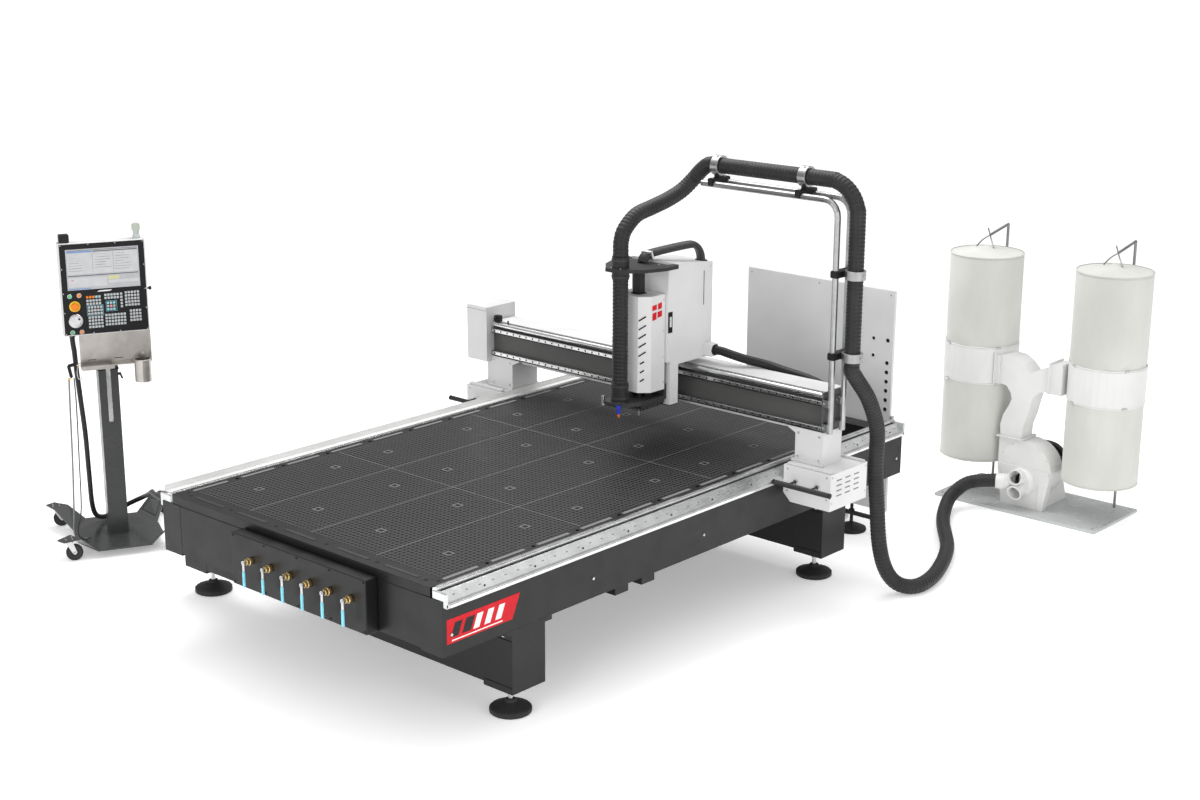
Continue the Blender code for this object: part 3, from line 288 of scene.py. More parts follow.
def node(tree, kind, inputs=None, **settings):
    """Add a node; `inputs` holds values, or sockets to link from."""
    made = tree.nodes.new(kind)
    for key, value in settings.items():
        setattr(made, key, value)
    for key, value in (inputs or {}).items():
        if isinstance(value, bpy.types.NodeSocket):
            tree.links.new(value, made.inputs[key])
        else:
            made.inputs[key].default_value = value
    return made


def metres(tree, stretch=(1, 1, 1)):
    """Object coordinates in metres, stretched per axis."""
    coordinates = node(tree, "ShaderNodeTexCoord")
    return node(tree, "ShaderNodeMapping", {"Vector": coordinates.outputs["Object"], "Scale": stretch}).outputs[0]


def noise(tree, vector, scale, depth=3.0):
    return node(tree, "ShaderNodeTexNoise", {"Vector": vector, "Scale": scale, "Detail": depth}).outputs["Fac"]


def spread(tree, value, low, high):
    """Noise values, mostly between 0.35 and 0.65, spread over low to high."""
    inputs = {"Value": value, "From Min": 0.35, "From Max": 0.65, "To Min": low, "To Max": high}
    return node(tree, "ShaderNodeMapRange", inputs).outputs[0]


def tint(tree, factor, dark, light):
    mix = node(tree, "ShaderNodeMix", {"Factor": factor}, data_type="RGBA")
    mix.inputs[6].default_value = (*dark, 1.0)
    mix.inputs[7].default_value = (*light, 1.0)
    return mix.outputs[2]


def shade(colour, factor):
    return tuple(min(1.0, channel * factor) for channel in colour)


def bump(tree, height, distance, strength=1.0, under=None):
    made = node(tree, "ShaderNodeBump", {"Height": height, "Distance": distance, "Strength": strength})
    if under:
        tree.links.new(under, made.inputs["Normal"])
    return made.outputs[0]


def rounded_edges(tree, radius):
    """Shading that rounds hard CAD edges."""
    return node(tree, "ShaderNodeBevel", {"Radius": radius}, samples=4).outputs[0]


def painted(name, colour, roughness, edge=0.003, grain=0.00012):
    """Powder coat: orange peel, faint tone drift and dust in the gloss."""
    material, tree, shader = new_surface(name, roughness)
    place = metres(tree)
    drift = spread(tree, noise(tree, place, 2.3), 0.0, 1.0)
    tree.links.new(tint(tree, drift, shade(colour, 0.94), shade(colour, 1.05)), shader.inputs["Base Color"])
    gloss = spread(tree, noise(tree, place, 9.0, 5.0), roughness - 0.05, roughness + 0.07)
    tree.links.new(gloss, shader.inputs["Roughness"])
    peel = noise(tree, place, 420.0, 2.0)
    tree.links.new(bump(tree, peel, grain, 0.7, rounded_edges(tree, edge)), shader.inputs["Normal"])
    shader.inputs["Coat Weight"].default_value = 0.06
    shader.inputs["Coat Roughness"].default_value = 0.25
    return material


def brushed(name, colour, roughness, stretch=(900, 900, 12), edge=0.0015):
    """Bright metal with a fine grain drawn along one axis."""
    material, tree, shader = new_surface(name, roughness, 1.0)
    grain = noise(tree, metres(tree, stretch), 1.0, 4.0)
    cloud = spread(tree, noise(tree, metres(tree), 14.0), 0.0, 1.0)
    tree.links.new(tint(tree, cloud, shade(colour, 0.88), shade(colour, 1.05)), shader.inputs["Base Color"])
    tree.links.new(spread(tree, grain, roughness - 0.07, roughness + 0.10), shader.inputs["Roughness"])
    tree.links.new(bump(tree, grain, 0.00006, 0.6, rounded_edges(tree, edge)), shader.inputs["Normal"])
    shader.inputs["Anisotropic"].default_value = 0.4
    return material


def moulded(name, colour, roughness, edge=0.001):
    """Plastic with a fine spark-eroded grain."""
    material, tree, shader = new_surface(name, roughness)
    place = metres(tree)
    cloud = spread(tree, noise(tree, place, 30.0), 0.0, 1.0)
    tree.links.new(tint(tree, cloud, shade(colour, 0.9), shade(colour, 1.08)), shader.inputs["Base Color"])
    tree.links.new(spread(tree, noise(tree, place, 60.0), roughness - 0.05, roughness + 0.06), shader.inputs["Roughness"])
    grain = noise(tree, place, 1500.0, 2.0)
    tree.links.new(bump(tree, grain, 0.00004, 0.6, rounded_edges(tree, edge)), shader.inputs["Normal"])
    return material


def rubbery(name, colour, roughness):
    """Matt rubber with a dusty bloom."""
    material, tree, shader = new_surface(name, roughness)
    place = metres(tree)
    bloom = spread(tree, noise(tree, place, 7.0, 6.0), 0.0, 1.0)
    tree.links.new(tint(tree, bloom, shade(colour, 0.85), shade(colour, 1.3)), shader.inputs["Base Color"])
    tree.links.new(bump(tree, noise(tree, place, 700.0), 0.0001, 0.5), shader.inputs["Normal"])
    shader.inputs["Sheen Weight"].default_value = 0.03
    return material


def grid_lines(tree, vector, pitch, line):
    """1 on a square grid of lines, 0 between them."""
    inputs = {"Vector": vector, "Scale": 1.0, "Mortar Size": line, "Mortar Smooth": 0.35, "Bias": 0.0,
              "Brick Width": pitch, "Row Height": pitch}
    return node(tree, "ShaderNodeTexBrick", inputs, offset=0.0, squash=1.0).outputs["Fac"]


def vacuum_bed():
    """Phenolic sheet milled into a fine waffle of pads and channels."""
    material, tree, shader = new_surface("vacuum_bed", 0.45)
    place = metres(tree)
    channel = grid_lines(tree, place, 0.0290, 0.0055)
    drift = spread(tree, noise(tree, place, 1.6), 0.0, 1.0)
    pads = tint(tree, drift, (0.0030, 0.0030, 0.0030), (0.0048, 0.0048, 0.0048))
    mix = node(tree, "ShaderNodeMix", {"Factor": channel}, data_type="RGBA")
    tree.links.new(pads, mix.inputs[6])
    mix.inputs[7].default_value = (0.060, 0.060, 0.061, 1.0)
    shader.inputs["Specular IOR Level"].default_value = 0.16
    tree.links.new(mix.outputs[2], shader.inputs["Base Color"])
    scuff = spread(tree, noise(tree, place, 5.0, 2.0), 0.36, 0.44)
    tree.links.new(scuff, shader.inputs["Roughness"])
    depth = node(tree, "ShaderNodeMath", {0: 1.0, 1: channel}, operation="SUBTRACT").outputs[0]
    wear = bump(tree, noise(tree, place, 300.0), 0.00008, 0.5)
    tree.links.new(bump(tree, depth, 0.0010, 0.8, wear), shader.inputs["Normal"])
    return material


def filter_cloth(name, colour):
    """Needled filter felt: a fibre weave, soft stains and light through the cloth."""
    material, tree, shader = new_surface(name, 0.88)
    place = metres(tree)
    stain = spread(tree, noise(tree, metres(tree, (1.0, 1.0, 0.45)), 3.2, 5.0), 0.0, 1.0)
    tree.links.new(tint(tree, stain, shade(colour, 0.90), shade(colour, 1.04)), shader.inputs["Base Color"])
    weave = grid_lines(tree, metres(tree, (1.0, 1.0, 1.0)), 0.0030, 0.0011)
    fibre = noise(tree, metres(tree, (160.0, 160.0, 420.0)), 1.0, 4.0)
    creases = noise(tree, metres(tree, (5.0, 5.0, 0.9)), 1.0, 3.0)
    normal = bump(tree, creases, 0.020, 0.45)
    normal = bump(tree, weave, 0.0004, 0.4, normal)
    tree.links.new(bump(tree, fibre, 0.0006, 0.5, normal), shader.inputs["Normal"])
    shader.inputs["Sheen Weight"].default_value = 0.35
    shader.inputs["Sheen Roughness"].default_value = 0.6
    shader.inputs["Subsurface Weight"].default_value = 0.12
    shader.inputs["Subsurface Radius"].default_value = (0.02, 0.02, 0.018)
    return material


def glowing(name, colour, strength):
    """A lit panel, a little uneven as a backlight is."""
    material, tree, shader = new_surface(name, 0.25)
    cloud = spread(tree, noise(tree, metres(tree), 18.0), 0.0, 1.0)
    shown = tint(tree, cloud, shade(colour, 0.92), colour)
    shader.inputs["Base Color"].default_value = (*shade(colour, 0.08), 1.0)
    tree.links.new(shown, shader.inputs["Emission Color"])
    shader.inputs["Emission Strength"].default_value = strength
    return material


def studio_floor():
    """Pale seamless paper."""
    material, tree, shader = new_surface("studio_floor", 0.75)
    cloud = spread(tree, noise(tree, metres(tree), 0.6), 0.0, 1.0)
    tree.links.new(tint(tree, cloud, (0.88, 0.88, 0.88), (0.91, 0.91, 0.91)), shader.inputs["Base Color"])
    shader.inputs["Emission Color"].default_value = (1.0, 1.0, 1.0, 1.0)
    shader.inputs["Emission Strength"].default_value = 0.30
    return material


CHARCOAL = painted("charcoal_coat", (0.0095, 0.0095, 0.0095), 0.38)
STAND_COAT = painted("stand_coat", (0.050, 0.053, 0.051), 0.24)
PLATE_COAT = painted("plate_coat", (0.46, 0.47, 0.475), 0.24)
BED = vacuum_bed()
WHITE = painted("white_coat", (0.66, 0.66, 0.66), 0.38, 0.004)
DUCT_WHITE = painted("duct_coat", (0.70, 0.70, 0.69), 0.42, 0.003)
BEAM_GREY = painted("beam_coat", (0.085, 0.085, 0.083), 0.38)
ALUMINIUM = brushed("drawn_aluminium", (0.72, 0.73, 0.73), 0.30, (900, 12, 900))
TUBE_ALUMINIUM = brushed("tube_aluminium", (0.45, 0.455, 0.455), 0.32, (700, 700, 12))
CHROME = brushed("ground_rail", (0.84, 0.84, 0.84), 0.16, (1200, 16, 1200))
STEEL = brushed("bright_steel", (0.62, 0.62, 0.63), 0.26)
STAINLESS = brushed("brushed_stainless", (0.52, 0.49, 0.46), 0.34, (14, 900, 900))
BRASS = brushed("valve_brass", (0.78, 0.57, 0.27), 0.26)
BLUE = moulded("lever_sleeve", (0.22, 0.66, 0.82), 0.35)
RUBBER = rubbery("black_rubber", (0.022, 0.022, 0.022), 0.62)
HOSE = rubbery("hose_wall", (0.017, 0.017, 0.018), 0.48)
BLACK = moulded("black_plastic", (0.010, 0.010, 0.011), 0.45)
PANEL_BLACK = moulded("panel_black", (0.005, 0.005, 0.006), 0.40)
DARK_GREY = moulded("dark_grey_plastic", (0.035, 0.035, 0.037), 0.45)
# Near black that stands in for the shade inside holes, slots, gaps and creases: painted shade.
HOLE_SHADE = rubbery("painted_hole_shade", (0.004, 0.004, 0.004), 0.8)
SEAM = painted("panel_seam", (0.19, 0.19, 0.19), 0.5, 0.0005)
RED = moulded("red_film", (0.58, 0.003, 0.012), 0.55)
FILM_WHITE = moulded("white_film", (0.80, 0.80, 0.80), 0.40)
ORANGE = moulded("orange_plastic", (0.85, 0.22, 0.02), 0.35)
YELLOW = moulded("yellow_plastic", (0.80, 0.52, 0.03), 0.38)
GREEN = moulded("green_plastic", (0.10, 0.55, 0.22), 0.35)
NOZZLE_BLUE = moulded("nozzle_blue", (0.03, 0.05, 0.55), 0.35)
KEY_GREY = moulded("key_grey", (0.46, 0.48, 0.49), 0.45)
KEY_PINK = moulded("key_pink", (0.72, 0.30, 0.36), 0.45)
KEY_CYAN = moulded("key_cyan", (0.25, 0.62, 0.70), 0.45)
FELT = filter_cloth("filter_felt", (0.58, 0.58, 0.545))
SEAM_FELT = filter_cloth("seam_tape", (0.53, 0.53, 0.50))
CLAMP_STEEL = brushed("clamp_steel", (0.40, 0.40, 0.40), 0.35, (14, 900, 900))
POST_STEEL = brushed("post_steel", (0.30, 0.30, 0.30), 0.35)
SCREEN = glowing("screen_grey", (0.52, 0.53, 0.55), 0.9)
SCREEN_PALE = glowing("screen_pale", (0.64, 0.65, 0.66), 0.9)
SCREEN_BLUE = glowing("screen_blue", (0.16, 0.32, 0.70), 0.9)
SCREEN_DARK = glowing("screen_dark", (0.10, 0.10, 0.11), 0.9)
SCREEN_YELLOW = glowing("screen_yellow", (0.70, 0.68, 0.38), 0.9)
SCREEN_RED = glowing("screen_red", (0.70, 0.10, 0.16), 0.9)
LAMP = glowing("lamp_lens", (0.85, 0.95, 0.80), 0.5)

SURFACES = {
    CHARCOAL: ("base_frame", "leg_frame_front", "leg_frame_rear", "manifold_box"),
    STAND_COAT: ("stand_base",),
    PLATE_COAT: ("dust_base",),
    BED: ("table_bed",),
    WHITE: ("cabinet_body", "cabinet_door", "carriage_left", "carriage_right", "z_saddle", "spindle_cover",
            "pendant_housing"),
    DUCT_WHITE: ("blower_housing", "bag_frame"),
    BEAM_GREY: ("gantry_beam",),
    ALUMINIUM: ("rail_left", "rail_right"),
    TUBE_ALUMINIUM: ("hose_mast",),
    STEEL: ("spindle_shaft", "stand_mast", "impeller", "jog_wheel") + tuple(
        "valve_lever_%d" % number for number in range(1, 7)) + tuple(
        "caster_fork_" + place for place in ("front_left", "front_right", "rear_left", "rear_right")),
    STAINLESS: ("pendant_tray",),
    BRASS: ("valve_header",),
    RUBBER: ("foot_front_left", "foot_front_right", "foot_rear_left", "foot_rear_right") + tuple(
        "caster_wheel_" + place for place in ("front_left", "front_right", "rear_left", "rear_right")),
    HOSE: ("hose_drop", "hose_over", "hose_bridge", "hose_floor"),
    BLACK: ("bumper_left", "spindle_motor", "blower_motor"),
    DARK_GREY: ("bumper_right", "dust_shoe"),
    ORANGE: ("estop_button", "stop_button"),
    GREEN: ("start_button",),
    FELT: ("filter_bag_left", "filter_bag_right", "dust_bag_left", "dust_bag_right"),
}


def surface_cad_nodes():
    for material, names in SURFACES.items():
        for name in names:
            mesh = cad_nodes[name].data
            mesh.materials.clear()
            mesh.materials.append(material)


# ---------------------------------------------------------------- table

def bed_fittings():
    """Seam strips, vacuum ports and their holes."""
    strips = []
    top = TABLE_TOP - 0.0006
    # The grey strips along the bed seams stand in for the highlight the seam edges catch: painted highlight.
    for x in BED_SEAMS_X:
        strips.append(block((x - 0.0026, BED_FRONT, top - 0.003), (x + 0.0026, BED_REAR, top)))
    for y in BED_SEAMS_Y:
        strips.append(block((-BORDER_INNER, y - 0.0026, top - 0.003), (BORDER_INNER, y + 0.0026, top + 0.0001)))
    detail("bed_seams", strips, SEAM, "machine")
    ports, holes = [], []
    for x in PORT_COLUMNS:
        for y in PORT_ROWS:
            for side in (-1, 1):
                ports.append(block((x + side * 0.020 - 0.003, y - 0.023, top), (x + side * 0.020 + 0.003, y + 0.023, top + 0.0016)))
                ports.append(block((x - 0.017, y + side * 0.020 - 0.003, top), (x + 0.017, y + side * 0.020 + 0.003, top + 0.0016)))
            # Each port hole is a near-black disc: painted shade.
            holes.append(turned([(0.0102, TABLE_TOP - 0.0005), (0.0102, TABLE_TOP + 0.0003)], (x, y, 0), sides=20))
    detail("vacuum_ports", ports, SEAM, "machine")
    detail("vacuum_port_holes", holes, HOLE_SHADE, "machine")


def border_strips():
    """Bars let into the rim with near-black holes between them: the side bars are light grey as painted sheen, the
    front bars dark grey, and the holes painted shade.
    """
    bars, front_bars, holes = [], [], []
    edge = (BORDER_INNER + 1.02) / 2
    pitch = 0.325
    count = 11
    for sign in (-1, 1):
        for i in range(count):
            y = -1.72 + pitch * i
            if y + 0.12 > 1.42:
                continue
            bars.append(block((sign * edge - 0.011, y - 0.115, TABLE_TOP - 0.002),
                              (sign * edge + 0.011, y + 0.115, TABLE_TOP + 0.0022), 0.0008))
            for offset in (-0.145, 0.180):
                # The holes are near-black discs: painted shade.
                holes.append(turned([(0.010, TABLE_TOP - 0.001), (0.010, TABLE_TOP + 0.0009)],
                                    (sign * edge, y + offset, 0), sides=16))
    front = (BED_FRONT - FRAME_HALF_LENGTH) / 2
    for x in (-0.76, -0.40, 0.0, 0.40, 0.76):
        front_bars.append(block((x - 0.12, front - 0.011, TABLE_TOP - 0.002),
                                (x + 0.12, front + 0.011, TABLE_TOP + 0.0022), 0.0008))
    for x in (-0.93, -0.58, -0.2, 0.2, 0.58, 0.93):
        holes.append(turned([(0.011, TABLE_TOP - 0.001), (0.011, TABLE_TOP + 0.0009)], (x, front, 0), sides=16))
    # The light grey of the side bars is painted sheen on dark glossy bars.
    detail("border_bars", bars, SEAM, "machine")
    detail("front_border_bars", front_bars, DARK_GREY, "machine")
    detail("border_holes", holes, HOLE_SHADE, "machine")


def guide_rails():
    """On each side beam: the ground rail with its screws, and the slotted cover outside it."""
    length = FRAME_HALF_LENGTH - 0.03
    rails, gaps, screws, slots, lips = [], [], [], [], []
    slope = math.atan2(0.040, 0.046)
    for sign in (-1, 1):
        rails.append(block((sign * 1.0405 - 0.0095, -length, TABLE_TOP - 0.004),
                           (sign * 1.0405 + 0.0095, length, TABLE_TOP + 0.006), 0.002))
        # Near-black strips in the gaps beside the rail: painted shade.
        gaps.append(block((sign * 1.0245 - 0.0055, -length, TABLE_TOP - 0.012), (sign * 1.0245 + 0.0055, length, TABLE_TOP - 0.0045)))
        gaps.append(block((sign * 1.062 - 0.006, -length, TABLE_TOP - 0.0142), (sign * 1.062 + 0.006, length, TABLE_TOP - 0.0132)))
        lips.append(block((sign * 1.1295 - 0.002, -length, TABLE_TOP - 0.084), (sign * 1.1295 + 0.002, length, TABLE_TOP - 0.068), 0.0008))
        steps = 44
        turn = Matrix.Rotation(sign * slope, 3, "Y")
        for i in range(steps):
            y = -length + 0.05 + (2 * length - 0.1) * i / (steps - 1)
            centre = Vector((sign * 1.100, y, TABLE_TOP - 0.0340))
            normal = Vector((sign * math.sin(slope), 0.0, math.cos(slope)))
            slots.append(bar(centre + normal * 0.0002, (0.005, 0.014, 0.0012), turn))
            if i % 4 == 2:
                screws.append(bolt(centre + normal * 0.0004 + Vector((sign * 0.010, 0.022, -0.009)), normal, 0.005, 0.003))
            if i % 2 == 0:
                screws.append(turned([(0.0035, TABLE_TOP + 0.0058), (0.0035, TABLE_TOP + 0.0064)], (sign * 1.0405, y, 0), sides=10))
    detail("guide_rail_bars", rails, CHROME, "machine")
    detail("guide_rail_gaps", gaps, HOLE_SHADE, "machine")
    detail("rail_cover_lips", lips, CHROME, "machine")
    detail("rail_cover_slots", slots, SEAM, "machine")
    detail("rail_screws", screws, BLACK, "machine")
    brackets = []
    for sign in (-1, 1):
        for y in (-FRAME_HALF_LENGTH + 0.012, FRAME_HALF_LENGTH - 0.012):
            brackets.append(block((sign * 1.082 - 0.048, y - 0.008, TABLE_TOP - 0.082),
                                  (sign * 1.082 + 0.046, y + 0.008, TABLE_TOP - 0.010), 0.002))
        brackets.append(block((sign * 1.0405 - 0.012, FRAME_HALF_LENGTH - 0.032, TABLE_TOP - 0.004),
                              (sign * 1.0405 + 0.012, FRAME_HALF_LENGTH - 0.008, TABLE_TOP + 0.022), 0.002))
    detail("rail_end_brackets", brackets, ALUMINIUM, "machine")
    guard = [block((-1.125, -length, TABLE_TOP - 0.0120), (-1.0585, length, TABLE_TOP - 0.0045), 0.001),
             block((-1.125, -length, TABLE_TOP - 0.0055), (-1.119, length, TABLE_TOP + 0.0270), 0.001)]
    detail("left_rail_guard", guard, DUCT_WHITE, "machine")


def frame_fittings():
    """Flange bolts, weld beads and the striped mark on the side beam."""
    bolts, beads = [], []
    for front in (-1.488, 1.137):
        for sign in (-1, 1):
            for x in (0.93, 1.07):
                for y in (front - 0.024, front + 0.259):
                    bolts.append(turned([(0.013, 0), (0.013, 0.009), (0.011, 0.011)], (sign * x, y, 0.4907), (0, 0, -1), 6))
        for z in (0.20, 0.45):
            beads.append(rod((0.902, front - 0.0015, z), (1.098, front - 0.0015, z), 0.003, 8))
    for y in (-1.90, -0.9, 0.0, 0.9, 1.90):
        for sign in (-1, 1):
            bolts.append(turned([(0.009, 0), (0.009, 0.005), (0.007, 0.006)], (sign * 1.107, y, 0.62), (sign, 0, 0), 6))
    detail("flange_bolts", bolts, STEEL, "machine")
    detail("weld_beads", beads, CHARCOAL, "machine")
    side = 1.1078
    low, high = 0.575, 0.700
    outline = [(-1.93, low), (-1.49, low), (-1.435, high), (-1.93, high)]
    detail("side_mark", [outline_prism(outline, 0, side - 0.0006, side)], RED, "machine")
    blacks, whites = [], []
    for i, width in enumerate((0.050, 0.058, 0.040, 0.040, 0.040)):
        start = -1.905 + 0.074 * i
        lean = 0.030
        stripe = [(start, low + 0.030), (start + width, low + 0.030), (start + width + lean, high - 0.024),
                  (start + lean, high - 0.024)]
        (blacks if i < 2 else whites).append(outline_prism(stripe, 0, side - 0.0003, side + 0.0006))
    whites.append(outline_prism([(-1.90, low + 0.010), (-1.56, low + 0.010), (-1.556, low + 0.016), (-1.896, low + 0.016)],
                                0, side - 0.0003, side + 0.0006))
    detail("side_mark_blacks", blacks, BLACK, "machine")
    detail("side_mark_whites", whites, FILM_WHITE, "machine")


def valve_fittings():
    """Union nuts behind each valve, the stem screws, and the manifold's lid screws."""
    nuts, screws, grips = [], [], []
    front = -2.033
    for i in range(6):
        x = -0.235 + 0.155 * i
        nuts.append(turned([(0.019, 0.0004), (0.019, 0.007), (0.017, 0.009)], (x, front, 0.69), (0, -1, 0), 6))
        grip = bar((x, front - 0.0535, 0.69 - 0.088), (0.021, 0.0085, 0.088), None, 0.0035)
        item = detail("valve_grip_%d" % (i + 1), [grip], BLUE, "valve_%d" % (i + 1))
        grips.append(item)
        screw = bolt((x, front - 0.0562, 0.69), (0, -1, 0), 0.007, 0.004)
        detail("valve_screw_%d" % (i + 1), [screw], STEEL, "valve_%d" % (i + 1))
    for x in (-0.385, -0.13, 0.13, 0.38, 0.635):
        for z in (0.54, 0.795):
            screws.append(bolt((x, front - 0.0002, z), (0, -1, 0), 0.006, 0.003))
    detail("valve_unions", nuts, BRASS, "machine")
    detail("manifold_screws", screws, BLACK, "machine")


def foot_fittings():
    """Lock nuts and bright stems of the levelling feet."""
    nuts = []
    for x, y in ((-1.5, -1.3705), (0.97, -1.3705), (-1.5, 1.2545), (0.97, 1.2545)):
        nuts.append(turned([(0.0245, 0.1195), (0.0255, 0.122), (0.0255, 0.136), (0.0245, 0.1385)], (x, y, 0), sides=6))
        nuts.append(turned([(0.0135, 0.074), (0.0135, 0.1648)], (x, y, 0), sides=20))
    detail("foot_nuts", nuts, STEEL, "machine")


# ---------------------------------------------------------------- cabinet

def cabinet_fittings():
    """Cable glands in the wall that faces the machine, front feet, screws, hinges, lock and door vents."""
    glands, rims = [], []
    front = 2.06
    spots = [(0.80, 1.31), (0.905, 1.31), (0.80, 1.20), (0.905, 1.165), (0.905, 1.105), (0.905, 1.045), (0.905, 0.985),
             (0.905, 0.925), (0.905, 0.865)]
    for k, (x, z) in enumerate(spots):
        radius = 0.011 if k in (0, 2) else 0.013
        # Near-black discs in the gland holes: painted shade.
        glands.append(turned([(radius, 0), (radius, 0.0008)], (x, front, z), (0, -1, 0), 20))
        rims.append(turned([(radius, 0.0), (radius, 0.0016), (radius + 0.003, 0.0014), (radius + 0.0035, 0.0)],
                           (x, front, z), (0, -1, 0), 24, closed=False))
    detail("cabinet_gland_holes", glands, HOLE_SHADE, "machine")
    detail("cabinet_gland_rims", rims, WHITE, "machine")
    feet = [block((0.16, 2.070, 0.108), (0.90, 2.100, 0.130), 0.002)]
    for x in (0.225, 0.671):
        foot = [(0.096, 0.0), (0.100, 0.010), (0.096, 0.020), (0.040, 0.046), (0.017, 0.052), (0.011, 0.060), (0.011, 0.185)]
        feet.append(turned(foot, (x, 2.086, 0), sides=40))
        feet.append(rod((x, 2.086, 0.130), (x, 2.086, 0.142), 0.021, 6))
    detail("cabinet_front_feet", feet, BLACK, "machine")
    screws = []
    for x in (-0.17, 0.37, 0.915):
        for z in (0.22, 1.60):
            screws.append(bolt((x, front - 0.0002, z), (0, -1, 0), 0.006, 0.0025))
    detail("cabinet_screws", screws, STEEL, "machine")
    hinges = [rod((-0.150, 2.412, z - 0.04), (-0.150, 2.412, z + 0.04), 0.0055, 12) for z in (0.40, 0.84, 1.30)]
    detail("cabinet_hinges", hinges, STEEL, "cabinet_door_panel")
    lock = [turned([(0.016, 0), (0.016, 0.004), (0.012, 0.006)], (0.530, 2.4223, 1.06), (0, 1, 0), 20)]
    detail("cabinet_lock", lock, STEEL, "cabinet_door_panel")
    vents = [bar((0.22, 2.4226, 0.34 + 0.022 * i), (0.30, 0.0015, 0.008), None, 0.0006) for i in range(8)]
    detail("cabinet_vents", vents, DARK_GREY, "cabinet_door_panel")


# ---------------------------------------------------------------- gantry

def beam_fittings():
    """The two linear rails with painted shadow strips under them, the round top edge, the deck, the foot strip and the
    right end cap.
    """
    rails, screws, shadows = [], [], []
    half = BEAM_HALF_LENGTH - 0.006
    face = BEAM_FRONT - 0.012
    for low, high in ((1.080, 1.104), (1.230, 1.254)):
        rails.append(block((-half, face - 0.0065, low + 0.001), (half, face + 0.001, high - 0.001), 0.003))
        shadows.append(block((-half, face + 0.0005, low - 0.006), (half, face + 0.026, low - 0.0002)))
        steps = 46
        for i in range(steps):
            x = -half + 0.03 + (2 * half - 0.06) * i / (steps - 1)
            # Near-black discs in the rail screw holes: painted shade.
            screws.append(turned([(0.0058, 0), (0.0058, 0.0008)], (x, face - 0.0065, (low + high) / 2), (0, -1, 0), 12))
    detail("beam_rails", rails, brushed("beam_rail_steel", (0.80, 0.80, 0.80), 0.2, (14, 1100, 1100)), "gantry")
    detail("beam_rail_shadows", shadows, HOLE_SHADE, "gantry")
    detail("beam_rail_holes", screws, HOLE_SHADE, "gantry")
    top = [swept([(-half, BEAM_FRONT - 0.004, 1.284), (0, BEAM_FRONT - 0.004, 1.284), (half, BEAM_FRONT - 0.004, 1.284)],
                 lambda i: 0.0155, 24)]
    detail("beam_top_tube", top, brushed("beam_tube_steel", (0.76, 0.77, 0.77), 0.22, (14, 900, 900)), "gantry")
    deck = [block((-half, BEAM_FRONT + 0.010, 1.2995), (half, 0.998, 1.3015), 0.0006)]
    detail("beam_deck", deck, WHITE, "gantry")
    foot = [block((-1.06, BEAM_FRONT, 1.0555), (1.06, BEAM_FRONT + 0.030, 1.0695), 0.003)]
    detail("beam_foot_strip", foot, WHITE, "gantry")
    # A near-black line in the crease behind the top tube: painted shade.
    lines = [block((-half, BEAM_FRONT + 0.012, 1.3008), (half, BEAM_FRONT + 0.018, 1.3022))]
    detail("beam_deck_line", lines, HOLE_SHADE, "gantry")
    caps = []
    for sign in (-1, 1):
        low_x, high_x = sorted((sign * (BEAM_HALF_LENGTH - 0.010), sign * (BEAM_HALF_LENGTH + 0.004)))
        if sign > 0:
            caps.append(block((low_x, BEAM_FRONT - 0.018, 1.0706), (high_x, 1.004, 1.304), 0.002))
    detail("beam_end_caps", caps, BEAM_GREY, "gantry")


def carriage_fittings():
    """Louvres, ridges, cover screws and the sensor of the two carriages."""
    slots, ridges, screws = [], [], []
    for sign in (-1, 1):
        outer = sign * 1.455
        for column in range(3):
            for row in range(4):
                centre = (outer + sign * 0.0004, 0.775 + 0.085 * column, 0.735 + 0.030 * row)
                slots.append(bar(centre, (0.0016, 0.050, 0.008), None, 0.0006))
        near, far = sorted((sign * 1.145, sign * 1.448))
        ridges.append(block((near, 0.700, 0.8702), (far, 0.735, 0.884), 0.004))
        ridges.append(block((near, 1.022, 0.8702), (far, 1.044, 0.882), 0.004))
        for y in (0.705, 1.035):
            for z in (0.70, 0.85):
                screws.append(bolt((outer, y, z), (sign, 0, 0), 0.006, 0.003))
        for x in (1.16, 1.43):
            for z in (0.72, 0.85):
                screws.append(bolt((sign * x, 0.69, z), (0, -1, 0), 0.006, 0.003))
        for x in (1.155, 1.300):
            for z in (0.90, 1.04):
                screws.append(bolt((sign * x, 0.79, z), (0, -1, 0), 0.007, 0.003))
    detail("carriage_louvres", slots, SEAM, "gantry")
    detail("carriage_ridges", ridges, WHITE, "gantry")
    detail("carriage_screws", screws, STEEL, "gantry")
    flanges = []
    for sign in (-1, 1):
        near, far = sorted((sign * 1.118, sign * 1.340))
        flanges.append(block((near, 0.772, 0.8702), (far, 0.789, 0.886), 0.002))
    detail("pedestal_flanges", flanges, WHITE, "gantry")
    sensor = [block((-1.300, 0.790, 1.3022), (-1.255, 0.830, 1.3420), 0.004),
              rod((-1.278, 0.792, 1.326), (-1.278, 0.774, 1.326), 0.008, 16),
              rod((-1.178, 0.800, 1.3022), (-1.178, 0.800, 1.3200), 0.006, 12)]
    detail("end_box_sensor", sensor, BLACK, "gantry")
    seam = [block((-1.4996, 0.7448, 1.372), (-1.3205, 0.7456, 1.374)), block((-1.5004, 0.745, 1.372), (-1.4996, 1.01, 1.374))]
    detail("end_box_seam", seam, DARK_GREY, "gantry")


